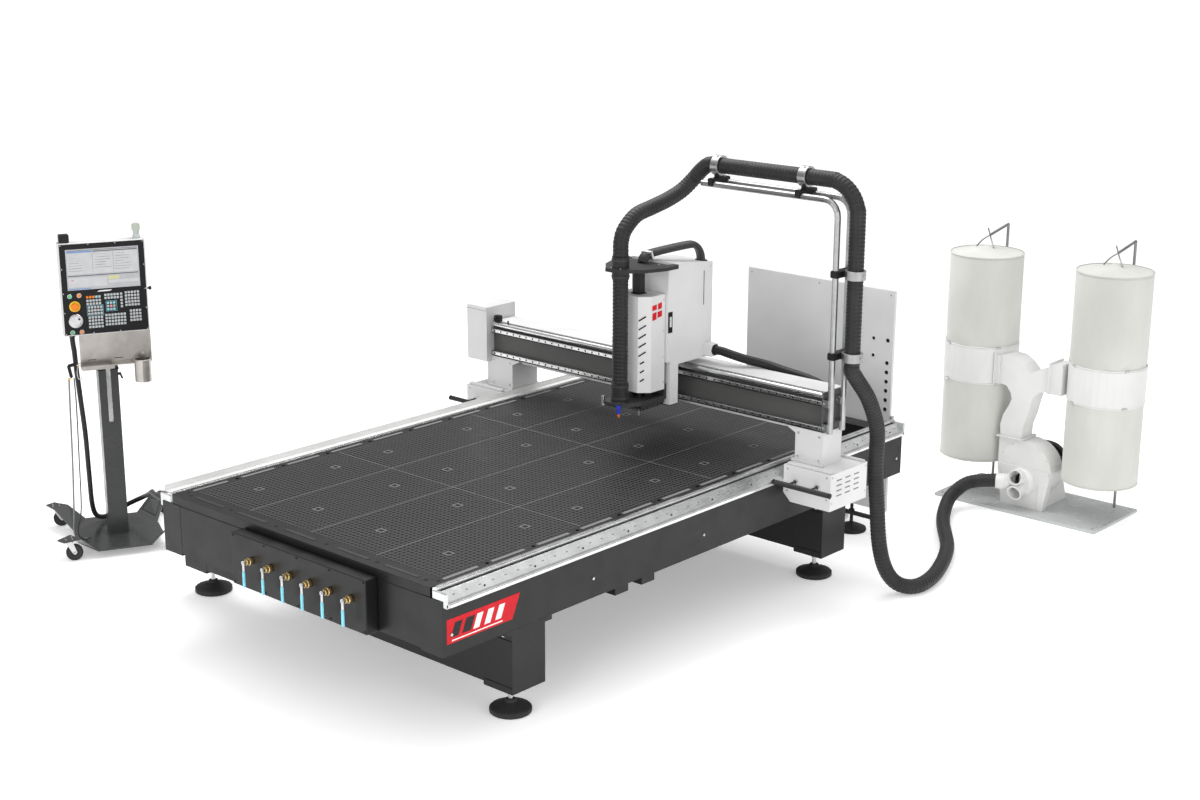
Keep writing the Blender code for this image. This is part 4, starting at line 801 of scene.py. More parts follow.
def mast_fittings():
    """Black clamp bodies, clamp screws and bands, and the bolts at the mast's foot."""
    blocks, screws = [], []
    for x in (0.485, 1.10):
        blocks.append(block((x - 0.020, 0.776, 2.380), (x + 0.020, 0.944, 2.424), 0.004))
        blocks.append(block((x - 0.017, 0.834, 2.420), (x + 0.017, 0.886, 2.441), 0.002))
        for y in (0.80, 0.92):
            screws.append(bolt((x, y, 2.424), (0, 0, 1), 0.006, 0.005))
        screws.append(bolt((x, 0.838, 2.551), (0, 0.35, 1), 0.006, 0.006))
    for z in (1.52, 1.985):
        blocks.append(block((1.338, 0.776, z - 0.020), (1.388, 0.944, z + 0.020), 0.004))
        blocks.append(block((1.380, 0.834, z - 0.017), (1.3985, 0.886, z + 0.017), 0.002))
        for y in (0.80, 0.92):
            screws.append(bolt((1.338, y, z), (-1, 0, 0), 0.006, 0.005))
        screws.append(bolt((1.5085, 0.86, z), (1, 0, 0), 0.006, 0.006))
    detail("clamp_bodies", blocks, BLACK, "gantry")
    detail("clamp_screws", screws, STEEL, "gantry")
    bands = [band((x, MAST_Y, HOSE_ARM_Z), (1, 0, 0), 0.0555, 0.0585, 0.052) for x in (0.485, 1.10)]
    bands += [band((HOSE_DOWN_X, MAST_Y, z), (0, 0, 1), 0.0555, 0.0585, 0.052) for z in (1.52, 1.985)]
    detail("clamp_bands", bands, CLAMP_STEEL, "gantry")
    bolts = []
    for y in (0.80, 0.92):
        for z in (1.105, 1.245):
            bolts.append(bolt((1.3305, y - 0.024, z), (0, -1, 0), 0.005, 0.004))
    detail("mast_foot_bolts", bolts, STEEL, "gantry")


def bumper_fittings():
    """Collars where the bumper pins enter the carriage, and rubber tips."""
    collars = []
    for sign in (-1, 1):
        for offset in (0.09, 0.24):
            collars.append(band((sign * (1.131 + offset), 0.684, 0.785), (0, 1, 0), 0.0086, 0.016, 0.0115, 20))
    detail("bumper_collars", collars, STEEL, "gantry")
    for side, sign in (("left", -1), ("right", 1)):
        tips = [turned([(0.010, 0), (0.016, 0.002), (0.016, 0.008), (0.010, 0.010)], (sign * x, 0.598, 0.785), (sign * d, 0, 0), 16)
                for x, d in ((1.1345, -1), (1.5105, 1))]
        detail("bumper_tips_" + side, tips, RUBBER, "bumper_bar_" + side)


# ---------------------------------------------------------------- hoses and cables

def hoses():
    """Ribbed walls: sleeves over the rigid stretches and bending pieces for the free ones."""
    corner = Vector((HOSE_DOWN_X, MAST_Y, HOSE_ARM_Z))
    arc = []
    for i in range(9):
        angle = math.pi / 2 * i / 8
        arc.append(corner + Vector((-0.19 + 0.19 * math.sin(angle), 0, -0.19 + 0.19 * math.cos(angle))))
    over = [(0.441, MAST_Y, HOSE_ARM_Z), (0.8, MAST_Y, HOSE_ARM_Z)] + arc
    over += [(HOSE_DOWN_X, MAST_Y, 1.9), (HOSE_DOWN_X, MAST_Y, 1.471)]
    detail("hose_over_wall", [ribbed(over, 10)], HOSE, "gantry", angle=80)
    drop = [(HEAD_X, HOSE_DROP_Y, 1.262), (HEAD_X, HOSE_DROP_Y, 1.5), (HEAD_X, HOSE_DROP_Y, 1.88)]
    detail("hose_drop_wall", [ribbed(drop, 10)], HOSE, "head", angle=80)

    middle = Vector((0.250, 0.540, 2.260))
    whole = smooth_path([(HEAD_X, HOSE_DROP_Y, 2.0103), (HEAD_X, HOSE_DROP_Y, 2.04), (0.241, 0.287, 2.095),
                         (0.243, 0.315, 2.160), (0.246, 0.410, 2.231), middle, (0.256, 0.668, 2.288),
                         (0.270, 0.785, 2.331), (0.305, 0.845, 2.393), (0.350, 0.857, 2.446), (0.393, MAST_Y, 2.481),
                         (0.4197, MAST_Y, HOSE_ARM_Z), (0.4397, MAST_Y, HOSE_ARM_Z)], 8)
    split = min(range(len(whole)), key=lambda i: (whole[i] - middle).length)
    lower = detail("hose_bridge_lower", [ribbed(whole[:split + 1], 2)], HOSE, angle=80)
    upper = detail("hose_bridge_upper", [ribbed(whole[split:], 2)], HOSE, angle=80)
    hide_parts("hose_bridge")
    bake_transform(lower)
    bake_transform(upper)

    end = Vector((1.165, 3.095, 0.200))
    out = Vector((-0.908, -0.419, 0.0))
    floor = 0.0465
    trail = [(HOSE_DOWN_X, MAST_Y, 1.4697), (HOSE_DOWN_X, MAST_Y, 1.44), (1.455, 0.91, 1.38), (1.47, 1.02, 1.24),
             (1.46, 1.13, 1.04), (1.44, 1.16, 0.82), (1.435, 1.20, 0.58), (1.455, 1.21, 0.34), (1.475, 1.25, 0.18),
             (1.515, 1.30, 0.085), (1.575, 1.36, 0.049), (1.61, 1.47, floor), (1.555, 1.72, floor), (1.385, 2.10, floor),
             (1.12, 2.48, floor), (0.985, 2.72, 0.055), (0.935, 2.88, 0.10), (0.985, 3.00, 0.17), end + out * 0.05, end]
    wall = detail("hose_floor_wall", [ribbed(trail, 8)], HOSE, angle=80)
    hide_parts("hose_floor")
    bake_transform(wall)
    cuff = [turned([(0.050, 0), (0.052, 0.003), (0.052, 0.055), (0.048, 0.060)], end + out * 0.022, -out, 28, closed=False)]
    detail("hose_port_cuff", cuff, DUCT_WHITE, "machine")
    straps = [band((HEAD_X, HOSE_DROP_Y, z), (0, 0, 1), 0.0502, 0.0525, 0.012) for z in (1.180, 1.250, 1.895, 1.990)]
    detail("hose_straps", straps, DARK_GREY, "head")


def flat_duct():
    """The flat grey energy duct arching from the head to the top of the saddle."""
    points = [(0.240, 0.475, 1.948), (0.241, 0.487, 1.972), (0.245, 0.510, 1.988), (0.260, 0.565, 1.998),
              (0.295, 0.670, 2.011), (0.330, 0.772, 2.021), (0.337, 0.820, 2.017), (0.340, 0.857, 1.992),
              (0.340, 0.880, 1.955), (0.340, 0.888, 1.914)]
    path = evenly(smooth_path(points, 8), 0.012)
    shape = swept(path, lambda i: 0.036, 24, 0.55, (0, -1, 0.4))
    duct = detail("energy_duct", [shape], DARK_GREY, angle=50)
    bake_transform(duct)
    collar = [block((0.305, 0.870, 1.908), (0.375, 0.908, 1.920), 0.003)]
    detail("energy_duct_collar", collar, BLACK, "saddle")
    buckle = [bar((0.247, 0.512, 1.989), (0.078, 0.024, 0.046), Matrix.Rotation(math.radians(20), 3, "X"), 0.005)]
    detail("energy_duct_buckle", buckle, STEEL, "head")


def gantry_cable():
    """The thick cable from the saddle's outlet along the beam to the right end."""
    points = [(0.44, 0.905, 1.385), (0.50, 0.912, 1.382), (0.57, 0.935, 1.364), (0.65, 0.975, 1.342), (0.74, 1.024, 1.322),
              (0.86, 1.034, 1.305), (1.00, 1.034, 1.292), (1.12, 1.034, 1.270), (1.20, 1.034, 1.235), (1.22, 1.034, 1.19)]
    item = detail("gantry_cable", [cable(points, 0.0265, 8, 16)], BLACK, angle=70)
    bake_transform(item)
    clip = [block((1.188, 1.0003, 1.175), (1.252, 1.064, 1.200), 0.003)]
    detail("gantry_cable_clip", clip, BLACK, "gantry")
    gland = [band((0.447, 0.905, 1.385), (1, 0, 0), 0.0265, 0.033, 0.012, 24)]
    detail("saddle_cable_gland", gland, BLACK, "saddle")


# ---------------------------------------------------------------- saddle and head

def saddle_fittings():
    """The front plate's latch window, the rear slot, screws and the bearing shoes on the rails."""
    side = 0.380
    # The latch window and the rear slot are filled with near-black painted shade.
    dark = [block((side - 0.0004, 0.5452, 1.535), (side + 0.0012, 0.5850, 1.660), 0.0005),
            block((side - 0.0004, 0.868, 1.655), (side + 0.0010, 0.873, 1.860))]
    detail("saddle_openings", dark, HOLE_SHADE, "saddle")
    latch = [block((side + 0.0008, 0.558, 1.570), (side + 0.0045, 0.574, 1.632), 0.0012),
             rod((side + 0.003, 0.566, 1.605), (side + 0.010, 0.566, 1.605), 0.004, 12)]
    detail("saddle_latch", latch, STEEL, "saddle")
    screws = []
    for y, z in ((0.607, 1.13), (0.607, 1.19), (0.607, 1.25), (0.607, 1.31), (0.93, 1.39), (0.93, 1.88)):
        screws.append(bolt((side, y, z), (1, 0, 0), 0.003, 0.002))
        screws.append(bolt((0.100, y, z), (-1, 0, 0), 0.003, 0.002))
    detail("saddle_screws", screws, STEEL, "saddle")
    shoes = []
    for z in (1.092, 1.242):
        shoes.append(block((0.118, 0.7465, z - 0.022), (0.2375, 0.7812, z + 0.022), 0.003))
    detail("saddle_bearing_shoes", shoes, BLACK, "saddle")
    foot = [block((0.150, 0.5715, 1.0945), (0.376, 0.6415, 1.0997), 0.001)]
    detail("saddle_foot_plate", foot, BLACK, "saddle")


def cover_vents():
    """Slanted louvres on both chamfered corners of the spindle cover."""
    slots, hoods = [], []
    for sign in (-1, 1):
        outward = Vector((sign, -1, 0)).normalized()
        along = Vector((sign, 1, 0)).normalized()
        middle = Vector((HEAD_X + sign * 0.083, 0.383, 0))
        slant = (along * 0.845 + Vector((0, 0, 0.53))).normalized()
        basis = Matrix((slant, outward.cross(slant), outward)).transposed()
        for i in range(8):
            length = 0.050 if i < 5 else 0.028
            centre = middle + Vector((0, 0, 1.642 - 0.0523 * i)) + outward * 0.0003
            slots.append(bar(centre, (length, 0.0085, 0.0016), basis))
            hoods.append(bar(centre + basis @ Vector((0, 0.0055, 0.0012)), (length, 0.0026, 0.0034), basis, 0.0008))
    # The slots are near-black painted shade under the white hoods.
    detail("cover_vents", slots, HOLE_SHADE, "head")
    detail("cover_vent_hoods", hoods, WHITE, "head")


def cover_mark():
    """A generic red mark of four blocks on both sides of the cover."""
    marks = []
    for face in (HEAD_X + 0.1203, HEAD_X - 0.1203):
        for y, z, wide, tall in ((0.446, 1.699, 0.040, 0.030), (0.494, 1.703, 0.034, 0.036),
                                 (0.446, 1.648, 0.036, 0.044), (0.493, 1.655, 0.040, 0.036)):
            lean = 0.005
            outline = [(y - wide / 2, z - tall / 2), (y + wide / 2, z - tall / 2 + lean),
                       (y + wide / 2, z + tall / 2 + lean), (y - wide / 2, z + tall / 2)]
            marks.append(outline_prism(outline, 0, face - 0.0005, face + 0.0005))
    detail("cover_mark", marks, RED, "head")


def head_fittings():
    """Cover screws, shoe brush, coolant nozzle, post and clamp on the spindle head."""
    screws = []
    for z in (1.245, 1.40, 1.55, 1.735):
        for sign in (-1, 1):
            screws.append(bolt((HEAD_X + sign * 0.12, 0.528, z), (sign, 0, 0), 0.004, 0.002))
    detail("cover_screws", screws, STEEL, "head")
    catch = [block((HEAD_X - 0.085, 0.3605, 1.290), (HEAD_X - 0.045, 0.3655, 1.300), 0.0015),
             block((HEAD_X - 0.050, 0.356, 1.284), (HEAD_X - 0.040, 0.3655, 1.306), 0.0015)]
    detail("cover_catch", catch, DARK_GREY, "head")
    bristles = []
    for y in (0.3535, 0.5565):
        for i in range(54):
            x = HEAD_X - 0.098 + 0.196 * i / 53
            bristles.append(rod((x, y, 1.138), (x + random.uniform(-0.003, 0.003), y + random.uniform(-0.004, 0.004), 1.098), 0.0012, 5))
    for x in (HEAD_X - 0.0975, HEAD_X + 0.0975):
        for i in range(54):
            y = 0.356 + 0.198 * i / 53
            bristles.append(rod((x, y, 1.138), (x + random.uniform(-0.004, 0.004), y + random.uniform(-0.003, 0.003), 1.098), 0.0012, 5))
    detail("shoe_bristles", bristles, BLACK, "head")
    rim = [block((HEAD_X - 0.106, 0.344, 1.116), (HEAD_X + 0.106, 0.3495, 1.1357), 0.001),
           block((HEAD_X + 0.1004, 0.344, 1.116), (HEAD_X + 0.106, 0.560, 1.1357), 0.001),
           block((HEAD_X - 0.106, 0.344, 1.116), (HEAD_X - 0.1004, 0.560, 1.1357), 0.001)]
    detail("shoe_rim", rim, DARK_GREY, "head")
    beads = [(0.0115, 0.0), (0.0135, 0.006), (0.0115, 0.012), (0.0135, 0.018), (0.0115, 0.024), (0.0130, 0.030),
             (0.0108, 0.036), (0.0122, 0.042), (0.0100, 0.048), (0.0110, 0.054), (0.0090, 0.058)]
    start, aim = Vector((HEAD_X + 0.064, 0.200, 1.164)), Vector((-0.05, 0.10, -1.0)).normalized()
    detail("coolant_nozzle", [turned(beads, start, aim, 20)], NOZZLE_BLUE, "head")
    tip = start + aim * 0.058
    detail("coolant_tip", [turned([(0.0088, 0), (0.0082, 0.006), (0.0045, 0.020)], tip, aim, 20)], ORANGE, "head")
    bracket = [block((HEAD_X + 0.030, 0.188, 1.1602), (HEAD_X + 0.078, 0.250, 1.1675), 0.002)]
    detail("nozzle_bracket", bracket, DARK_GREY, "head")
    lugs = [bolt((HEAD_X + sign * 0.112, 0.49, 1.945), (0, 0, 1), 0.007, 0.004) for sign in (-1, 1)]
    lugs += [bolt((HEAD_X + sign * 0.034, 0.245, 1.945), (0, 0, 1), 0.006, 0.004) for sign in (-1, 1)]
    detail("wing_screws", lugs, STEEL, "head")
    post = [block((HEAD_X - 0.034, 0.411, 1.7703), (HEAD_X + 0.034, 0.479, 1.776), 0.002)]
    detail("post_foot", post, BLACK, "head")
    probe = [rod((HEAD_X - 0.085, 0.235, 1.128), (HEAD_X - 0.085, 0.235, 1.185), 0.010, 16)]
    detail("air_tap", probe, STEEL, "head")


# ---------------------------------------------------------------- pendant stand

def panel_face():
    """Black bezel with the lit screen, its blocks, the border screws and the top strip."""
    front = PANEL_FRONT
    bezel = [block((-0.250, front - 0.0030, 1.392), (0.250, front - 0.0002, 1.950), 0.001)]
    detail("panel_bezel", bezel, PANEL_BLACK, "pendant_head", STAND)
    glass = [block((-0.2155, front - 0.0038, 1.668), (0.2155, front - 0.0028, 1.918), 0.0003)]
    detail("screen_field", glass, SCREEN, "pendant_head", STAND)
    level = front - 0.0044

    def lit(name, material, boxes):
        shapes = [block((x0, level, z0), (x1, level + 0.0008, z1)) for x0, z0, x1, z1 in boxes]
        detail(name, shapes, material, "pendant_head", STAND)

    lit("screen_panes", SCREEN_PALE, [(-0.209, 1.765, -0.062, 1.893), (-0.056, 1.765, 0.060, 1.893), (0.066, 1.765, 0.208, 1.893),
                                      (-0.209, 1.685, 0.020, 1.742), (0.028, 1.700, 0.208, 1.718)])
    lit("screen_titles", SCREEN_BLUE, [(-0.209, 1.897, -0.062, 1.905), (-0.209, 1.672, -0.080, 1.677)])
    lit("screen_rules", SCREEN_DARK, [(-0.056, 1.898, 0.208, 1.903), (-0.209, 1.752, 0.208, 1.757), (-0.205, 1.908, 0.208, 1.911)])
    lit("screen_notice", SCREEN_YELLOW, [(0.028, 1.722, 0.092, 1.744)])
    lit("screen_alarm", SCREEN_RED, [(-0.192, 1.724, -0.178, 1.733)])
    rows = []
    for pane, count in ((-0.200, 7), (-0.048, 6), (0.074, 7)):
        for i in range(count):
            z = 1.880 - 0.016 * i
            rows.append((pane, z, pane + random.uniform(0.05, 0.10), z + 0.0022))
    lit("screen_rows", SCREEN_DARK, rows)
    screws = []
    for x in (-0.243, -0.08, 0.08, 0.243):
        for z in (1.398, 1.944):
            screws.append(bolt((x, front - 0.003, z), (0, -1, 0), 0.0035, 0.0018))
    for z in (1.53, 1.65, 1.80):
        for x in (-0.243, 0.243):
            screws.append(bolt((x, front - 0.003, z), (0, -1, 0), 0.0035, 0.0018))
    detail("panel_screws", screws, STEEL, "pendant_head", STAND)
    emblem = [outline_prism([(-0.045, 1.650), (0.030, 1.650), (0.046, 1.658), (-0.030, 1.658)], 1, level + 0.0005, level + 0.0016)]
    detail("panel_emblem", emblem, FILM_WHITE, "pendant_head", STAND)


def keypad():
    """Groups of low keys; their caps carry no lettering."""
    level = PANEL_FRONT - 0.003
    groups = (                                 # left, top, columns, rows, surface
        (-0.112, 1.627, 3, 1, ORANGE), (-0.058, 1.627, 2, 1, KEY_CYAN), (-0.112, 1.605, 5, 2, KEY_GREY),
        (-0.106, 1.563, 5, 3, KEY_GREY), (-0.106, 1.500, 5, 4, KEY_GREY), (-0.004, 1.634, 5, 2, KEY_GREY),
        (0.008, 1.583, 3, 3, KEY_CYAN), (-0.006, 1.508, 7, 4, KEY_GREY), (0.090, 1.634, 1, 5, KEY_GREY),
        (0.118, 1.640, 5, 5, KEY_GREY), (0.142, 1.524, 4, 4, KEY_GREY),
    )
    step_x, step_z, size = 0.0182, 0.0196, 0.0140
    shapes = {}
    for left, top, columns, rows, surface in groups:
        for column in range(columns):
            for row in range(rows):
                x, z = left + column * step_x, top - row * step_z
                if (surface, column, row) == (KEY_CYAN, 1, 1):
                    surface_here = KEY_PINK
                else:
                    surface_here = surface if surface is not KEY_CYAN or (column + row) % 2 == 0 else KEY_GREY
                cap = block((x, level - 0.0026, z - size), (x + size, level, z), 0.0012, 1)
                shapes.setdefault(surface_here, []).append(cap)
    for surface, caps in shapes.items():
        detail("keys_" + surface.name, caps, surface, "pendant_head", STAND)
    frames = []
    for low_x, low_z, high_x, high_z in ((-0.1105, 1.505, -0.0145, 1.568), (0.0035, 1.525, 0.0665, 1.588)):
        for z in (low_z, high_z):
            frames.append(block((low_x, level - 0.0008, z - 0.0008), (high_x, level, z + 0.0008)))
        for x in (low_x, high_x):
            frames.append(block((x - 0.0008, level - 0.0008, low_z), (x + 0.0008, level, high_z)))
    detail("key_frames", frames, KEY_CYAN, "pendant_head", STAND)


def panel_controls():
    """Collars round the push buttons, the ring of the emergency stop and the dial of the jog wheel."""
    level = PANEL_FRONT - 0.003
    collars = []
    for x, z in ((-0.205, 1.408), (-0.150, 1.408), (-0.208, 1.632), (-0.152, 1.634)):
        collars.append(band((x, level - 0.0015, z), (0, -1, 0), 0.0110, 0.0145, 0.004, 24))
    detail("button_collars", collars, STEEL, "pendant_head", STAND)
    lamps = {GREEN: (-0.208, 1.632), ORANGE: (-0.152, 1.634)}
    for surface, (x, z) in lamps.items():
        cap = turned([(0.0108, 0), (0.0108, 0.004), (0.0085, 0.006)], (x, level, z), (0, -1, 0), 24)
        detail("indicator_" + surface.name, [cap], surface, "pendant_head", STAND)
    ring = band((-0.182, level - 0.002, 1.568), (0, -1, 0), 0.0215, 0.0330, 0.005, 36)
    detail("estop_ring", [ring], YELLOW, "pendant_head", STAND)
    arrows = [turned([(0.0215, 0.0272), (0.0120, 0.0288)], (-0.182, PANEL_FRONT, 1.568), (0, -1, 0), 28)]
    detail("estop_cap", arrows, ORANGE, "estop_button_body", STAND)
    dial = [turned([(0.0415, 0.0080), (0.0430, 0.0100), (0.0430, 0.0165), (0.0400, 0.0200), (0.0300, 0.0212), (0.0120, 0.0214)],
                   (-0.182, PANEL_FRONT, 1.480), (0, -1, 0), 48)]
    for i in range(20):
        angle = math.tau * i / 20
        spot = Vector((-0.182 + 0.0355 * math.cos(angle), PANEL_FRONT - 0.0206, 1.480 + 0.0355 * math.sin(angle)))
        dial.append(turned([(0.0013, 0), (0.0013, 0.0010)], spot, (0, -1, 0), 8))
    detail("jog_dial", dial, STEEL, "jog_wheel_body", STAND)
    dimple = turned([(0.0070, 0.0213), (0.0070, 0.0222), (0.0050, 0.0226)], (-0.163, PANEL_FRONT, 1.492), (0, -1, 0), 20)
    detail("jog_dimple", [dimple], DARK_GREY, "jog_wheel_body", STAND)
    knob = [rod((0.2571, -0.125, 1.642), (0.272, -0.125, 1.642), 0.006, 12),
            turned([(0.010, 0), (0.012, 0.003), (0.012, 0.012), (0.009, 0.015)], (0.270, -0.125, 1.642), (1, 0, 0), 16)]
    detail("side_knob", knob, BLACK, "pendant_head", STAND)


def panel_top():
    """The lamp and the black box on top of the housing, and the ribbed back cover."""
    base = [turned([(0.022, 1.9572), (0.022, 1.975), (0.018, 1.980), (0.018, 2.005)], (0.215, -0.12, 0), sides=24)]
    detail("lamp_base", base, KEY_GREY, "pendant_head", STAND)
    lens = [turned([(0.0235, 2.005), (0.026, 2.010), (0.026, 2.036), (0.022, 2.045), (0.010, 2.050)], (0.215, -0.12, 0), sides=28)]
    detail("lamp_lens", lens, LAMP, "pendant_head", STAND)
    box = [block((-0.246, -0.155, 1.9572), (-0.186, -0.095, 2.006), 0.004)]
    detail("top_switch_box", box, BLACK, "pendant_head", STAND)
    rear = [block((-0.18, -0.0848, 1.44), (0.18, -0.079, 1.92), 0.002)]
    rear += [bar((0.0, -0.0775, 1.80 + 0.018 * i), (0.20, 0.003, 0.006), None, 0.001) for i in range(6)]
    detail("panel_back_cover", rear, WHITE, "pendant_head", STAND)


def stand_fittings():
    """Pad screws, height clamp and lock, caster axles and hubs."""
    screws = []
    for x, y in ((-0.335, -0.30), (0.335, -0.30), (-0.335, 0.39), (0.335, 0.39)):
        for dx, dy in ((-0.02, -0.02), (0.02, -0.02), (-0.02, 0.02), (0.02, 0.02)):
            screws.append(bolt((x + dx, y + dy, 0.1430), (0, 0, 1), 0.006, 0.004))
    detail("stand_screws", screws, STEEL, "machine", STAND)
    collar = [block((-0.064, -0.064, 1.128), (-0.0602, 0.064, 1.146), 0.001), block((0.0602, -0.064, 1.128), (0.064, 0.064, 1.146), 0.001),
              block((-0.064, -0.064, 1.128), (-0.016, -0.0602, 1.146), 0.001), block((0.016, -0.064, 1.128), (0.064, -0.0602, 1.146), 0.001),
              block((-0.064, 0.0602, 1.128), (0.064, 0.064, 1.146), 0.001)]
    detail("column_collar", collar, BLACK, "machine", STAND)
    lever = [rod((0.0602, 0.0, 1.085), (0.085, 0.0, 1.085), 0.009, 14), rod((0.080, 0.0, 1.085), (0.083, -0.06, 1.072), 0.006, 12)]
    detail("height_lock", lever, BLACK, "machine", STAND)
    places = {"front_left": (-0.335, -0.30), "front_right": (0.335, -0.30), "rear_left": (-0.335, 0.39), "rear_right": (0.335, 0.39)}
    for name, (x, y) in places.items():
        axle = [rod((x + 0.03, y - 0.0265, 0.0525), (x + 0.03, y + 0.0265, 0.0525), 0.0045, 12),
                turned([(0.0085, 0), (0.0085, 0.005), (0.007, 0.006)], (x + 0.03, y - 0.0235, 0.0525), (0, -1, 0), 6),
                turned([(0.0085, 0), (0.0085, 0.005), (0.007, 0.006)], (x + 0.03, y + 0.0235, 0.0525), (0, 1, 0), 6)]
        detail("caster_axle_" + name, axle, STEEL, "caster_swivel_" + name, STAND)
        hub = [turned([(0.036, -0.0148), (0.036, -0.0142), (0.030, -0.0142)], (x + 0.03, y, 0.0525), (0, 1, 0), 28, closed=False),
               turned([(0.036, 0.0148), (0.036, 0.0142), (0.030, 0.0142)], (x + 0.03, y, 0.0525), (0, 1, 0), 28, closed=False)]
        detail("caster_hub_" + name, hub, DARK_GREY, "caster_roller_" + name, STAND)


def tray_fittings():
    """Pleats and perforations of the tray, hanging hook and small air gun."""
    front = PANEL_FRONT + 0.012
    # Perforations and slots drawn as near-black discs and bars: painted shade.
    holes = []
    for i in range(9):
        holes.append(turned([(0.0035, 0), (0.0035, 0.0006)], (-0.150 + 0.018 * i, front - 0.060, 1.186), (0, 0, 1), 10))
        holes.append(turned([(0.0035, 0), (0.0035, 0.0006)], (-0.150 + 0.018 * i, front - 0.035, 1.186), (0, 0, 1), 10))
    holes += [bar((x, front - 0.0003, 1.225), (0.05, 0.0008, 0.004)) for x in (-0.10, 0.06)]
    detail("tray_holes", holes, HOLE_SHADE, "pendant_head", STAND)
    lips = [block((-0.172, front - 0.0865, 1.180), (-0.168, front + 0.002, 1.207), 0.0008),
            block((0.018, front - 0.0865, 1.180), (0.022, front + 0.002, 1.207), 0.0008),
            block((0.250, front - 0.012, 1.190), (0.2575, front + 0.004, 1.384), 0.001),
            band((0.195, front - 0.042, 1.2145), (0, 0, 1), 0.0455, 0.0535, 0.004, 32)]
    detail("tray_lips", lips, STAINLESS, "pendant_head", STAND)
    hook = [cable([(-0.172, front, 1.21), (-0.188, front - 0.004, 1.20), (-0.196, front - 0.006, 1.15), (-0.190, front - 0.006, 1.115),
                   (-0.176, front - 0.006, 1.110), (-0.168, front - 0.006, 1.125)], 0.0028, 6, 8)]
    detail("gun_hook", hook, STEEL, "pendant_head", STAND)
    gun = [bar((-0.238, front - 0.010, 1.165), (0.020, 0.020, 0.085), Matrix.Rotation(math.radians(-10), 3, "Y"), 0.006),
           bar((-0.222, front - 0.010, 1.205), (0.055, 0.018, 0.020), Matrix.Rotation(math.radians(-10), 3, "Y"), 0.005),
           bar((-0.205, front - 0.010, 1.180), (0.008, 0.012, 0.040), Matrix.Rotation(math.radians(12), 3, "Y"), 0.003)]
    detail("air_gun", gun, BLACK, "pendant_head", STAND)
    tip = [rod((-0.197, front - 0.010, 1.200), (-0.165, front - 0.010, 1.192), 0.003, 10)]
    detail("air_gun_tip", tip, BRASS, "pendant_head", STAND)
    mark = [bar((-0.243, front - 0.0105, 1.118), (0.014, 0.014, 0.016), Matrix.Rotation(math.radians(-10), 3, "Y"), 0.004)]
    detail("air_gun_fitting", mark, YELLOW, "pendant_head", STAND)


def stand_cables():
    """The thick machine cable and two thin leads hanging beside the column."""
    neck = [(-0.205, -0.115, 1.392), (-0.205, -0.112, 1.34), (-0.198, -0.100, 1.28)]
    detail("main_cable_neck", [cable(neck, 0.0155, 6, 14)], HOSE, "pendant_head", STAND, 70)
    gland = [turned([(0.019, 1.372), (0.021, 1.376), (0.021, 1.3845)], (-0.205, -0.115, 0), sides=20)]
    detail("main_cable_gland", gland, BLACK, "pendant_head", STAND)
    hanging = [(-0.198, -0.100, 1.281), (-0.190, -0.068, 1.15), (-0.176, -0.045, 0.95), (-0.160, -0.02, 0.72),
               (-0.150, 0.03, 0.45), (-0.135, 0.10, 0.20), (-0.085, 0.20, 0.095), (0.02, 0.27, 0.085)]
    climbing = [(-2.850, -1.048, 0.147), (-2.700, -1.003, 0.230), (-2.400, -1.153, 0.361), (-2.100, -1.354, 0.477),
                (-1.800, -1.555, 0.590), (-1.450, -1.735, 0.680), (-1.240, -1.765, 0.700), (-1.124, -1.700, 0.705)]
    route = [STAND @ Vector(point) for point in hanging] + [TABLE @ Vector(point) for point in climbing]
    item = detail("main_cable", [cable(route, 0.0155, 8, 14)], HOSE, None, Matrix.Identity(4), 70)
    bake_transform(item)
    leads = {"thin_lead_1": (SEAM, 0.0052, (-0.246, -0.252, -0.262, -0.276, -0.284)),
             "thin_lead_2": (DARK_GREY, 0.0038, (-0.216, -0.214, -0.222, -0.232, -0.262))}
    for name, (surface, radius, across) in leads.items():
        lead = [(x, -0.145 - 0.002 * k, z) for k, (x, z) in enumerate(zip(across, (1.12, 0.95, 0.60, 0.28, 0.13)))]
        lead += [(across[-1] + 0.03, -0.145, 0.076), (across[-1] + 0.08, -0.110, 0.067)]
        thin = detail(name, [cable(lead, radius, 8, 8)], surface, None, STAND, 70)
        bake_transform(thin)


# ---------------------------------------------------------------- dust collector

def cloth_tube(name, profile, rows, sides):
    """An open or capped cloth skin turned from a profile, with a ring of vertices per row."""
    lengths = [0.0]
    for (r0, z0), (r1, z1) in zip(profile, profile[1:]):
        lengths.append(lengths[-1] + math.hypot(r1 - r0, z1 - z0))
    points = []
    k = 0
    for i in range(rows + 1):
        target = lengths[-1] * i / rows
        while k < len(profile) - 2 and lengths[k + 1] < target:
            k += 1
        share = (target - lengths[k]) / (lengths[k + 1] - lengths[k])
        a, b = profile[k], profile[k + 1]
        points.append((a[0] + (b[0] - a[0]) * share, a[1] + (b[1] - a[1]) * share))
    shape = turned(points, sides=sides, closed=False)
    shape.verts.ensure_lookup_table()
    last = [shape.verts[len(shape.verts) - sides + i] for i in range(sides)]
    tip = shape.verts.new((0, 0, points[-1][1]))
    for i in range(sides):
        shape.faces.new((last[i], last[(i + 1) % sides], tip))
    bmesh.ops.recalc_face_normals(shape, faces=shape.faces)
    mesh = bpy.data.meshes.new(name)
    shape.to_mesh(mesh)
    shape.free()
    item = bpy.data.objects.new(name, mesh)
    bpy.context.scene.collection.objects.link(item)
    return item


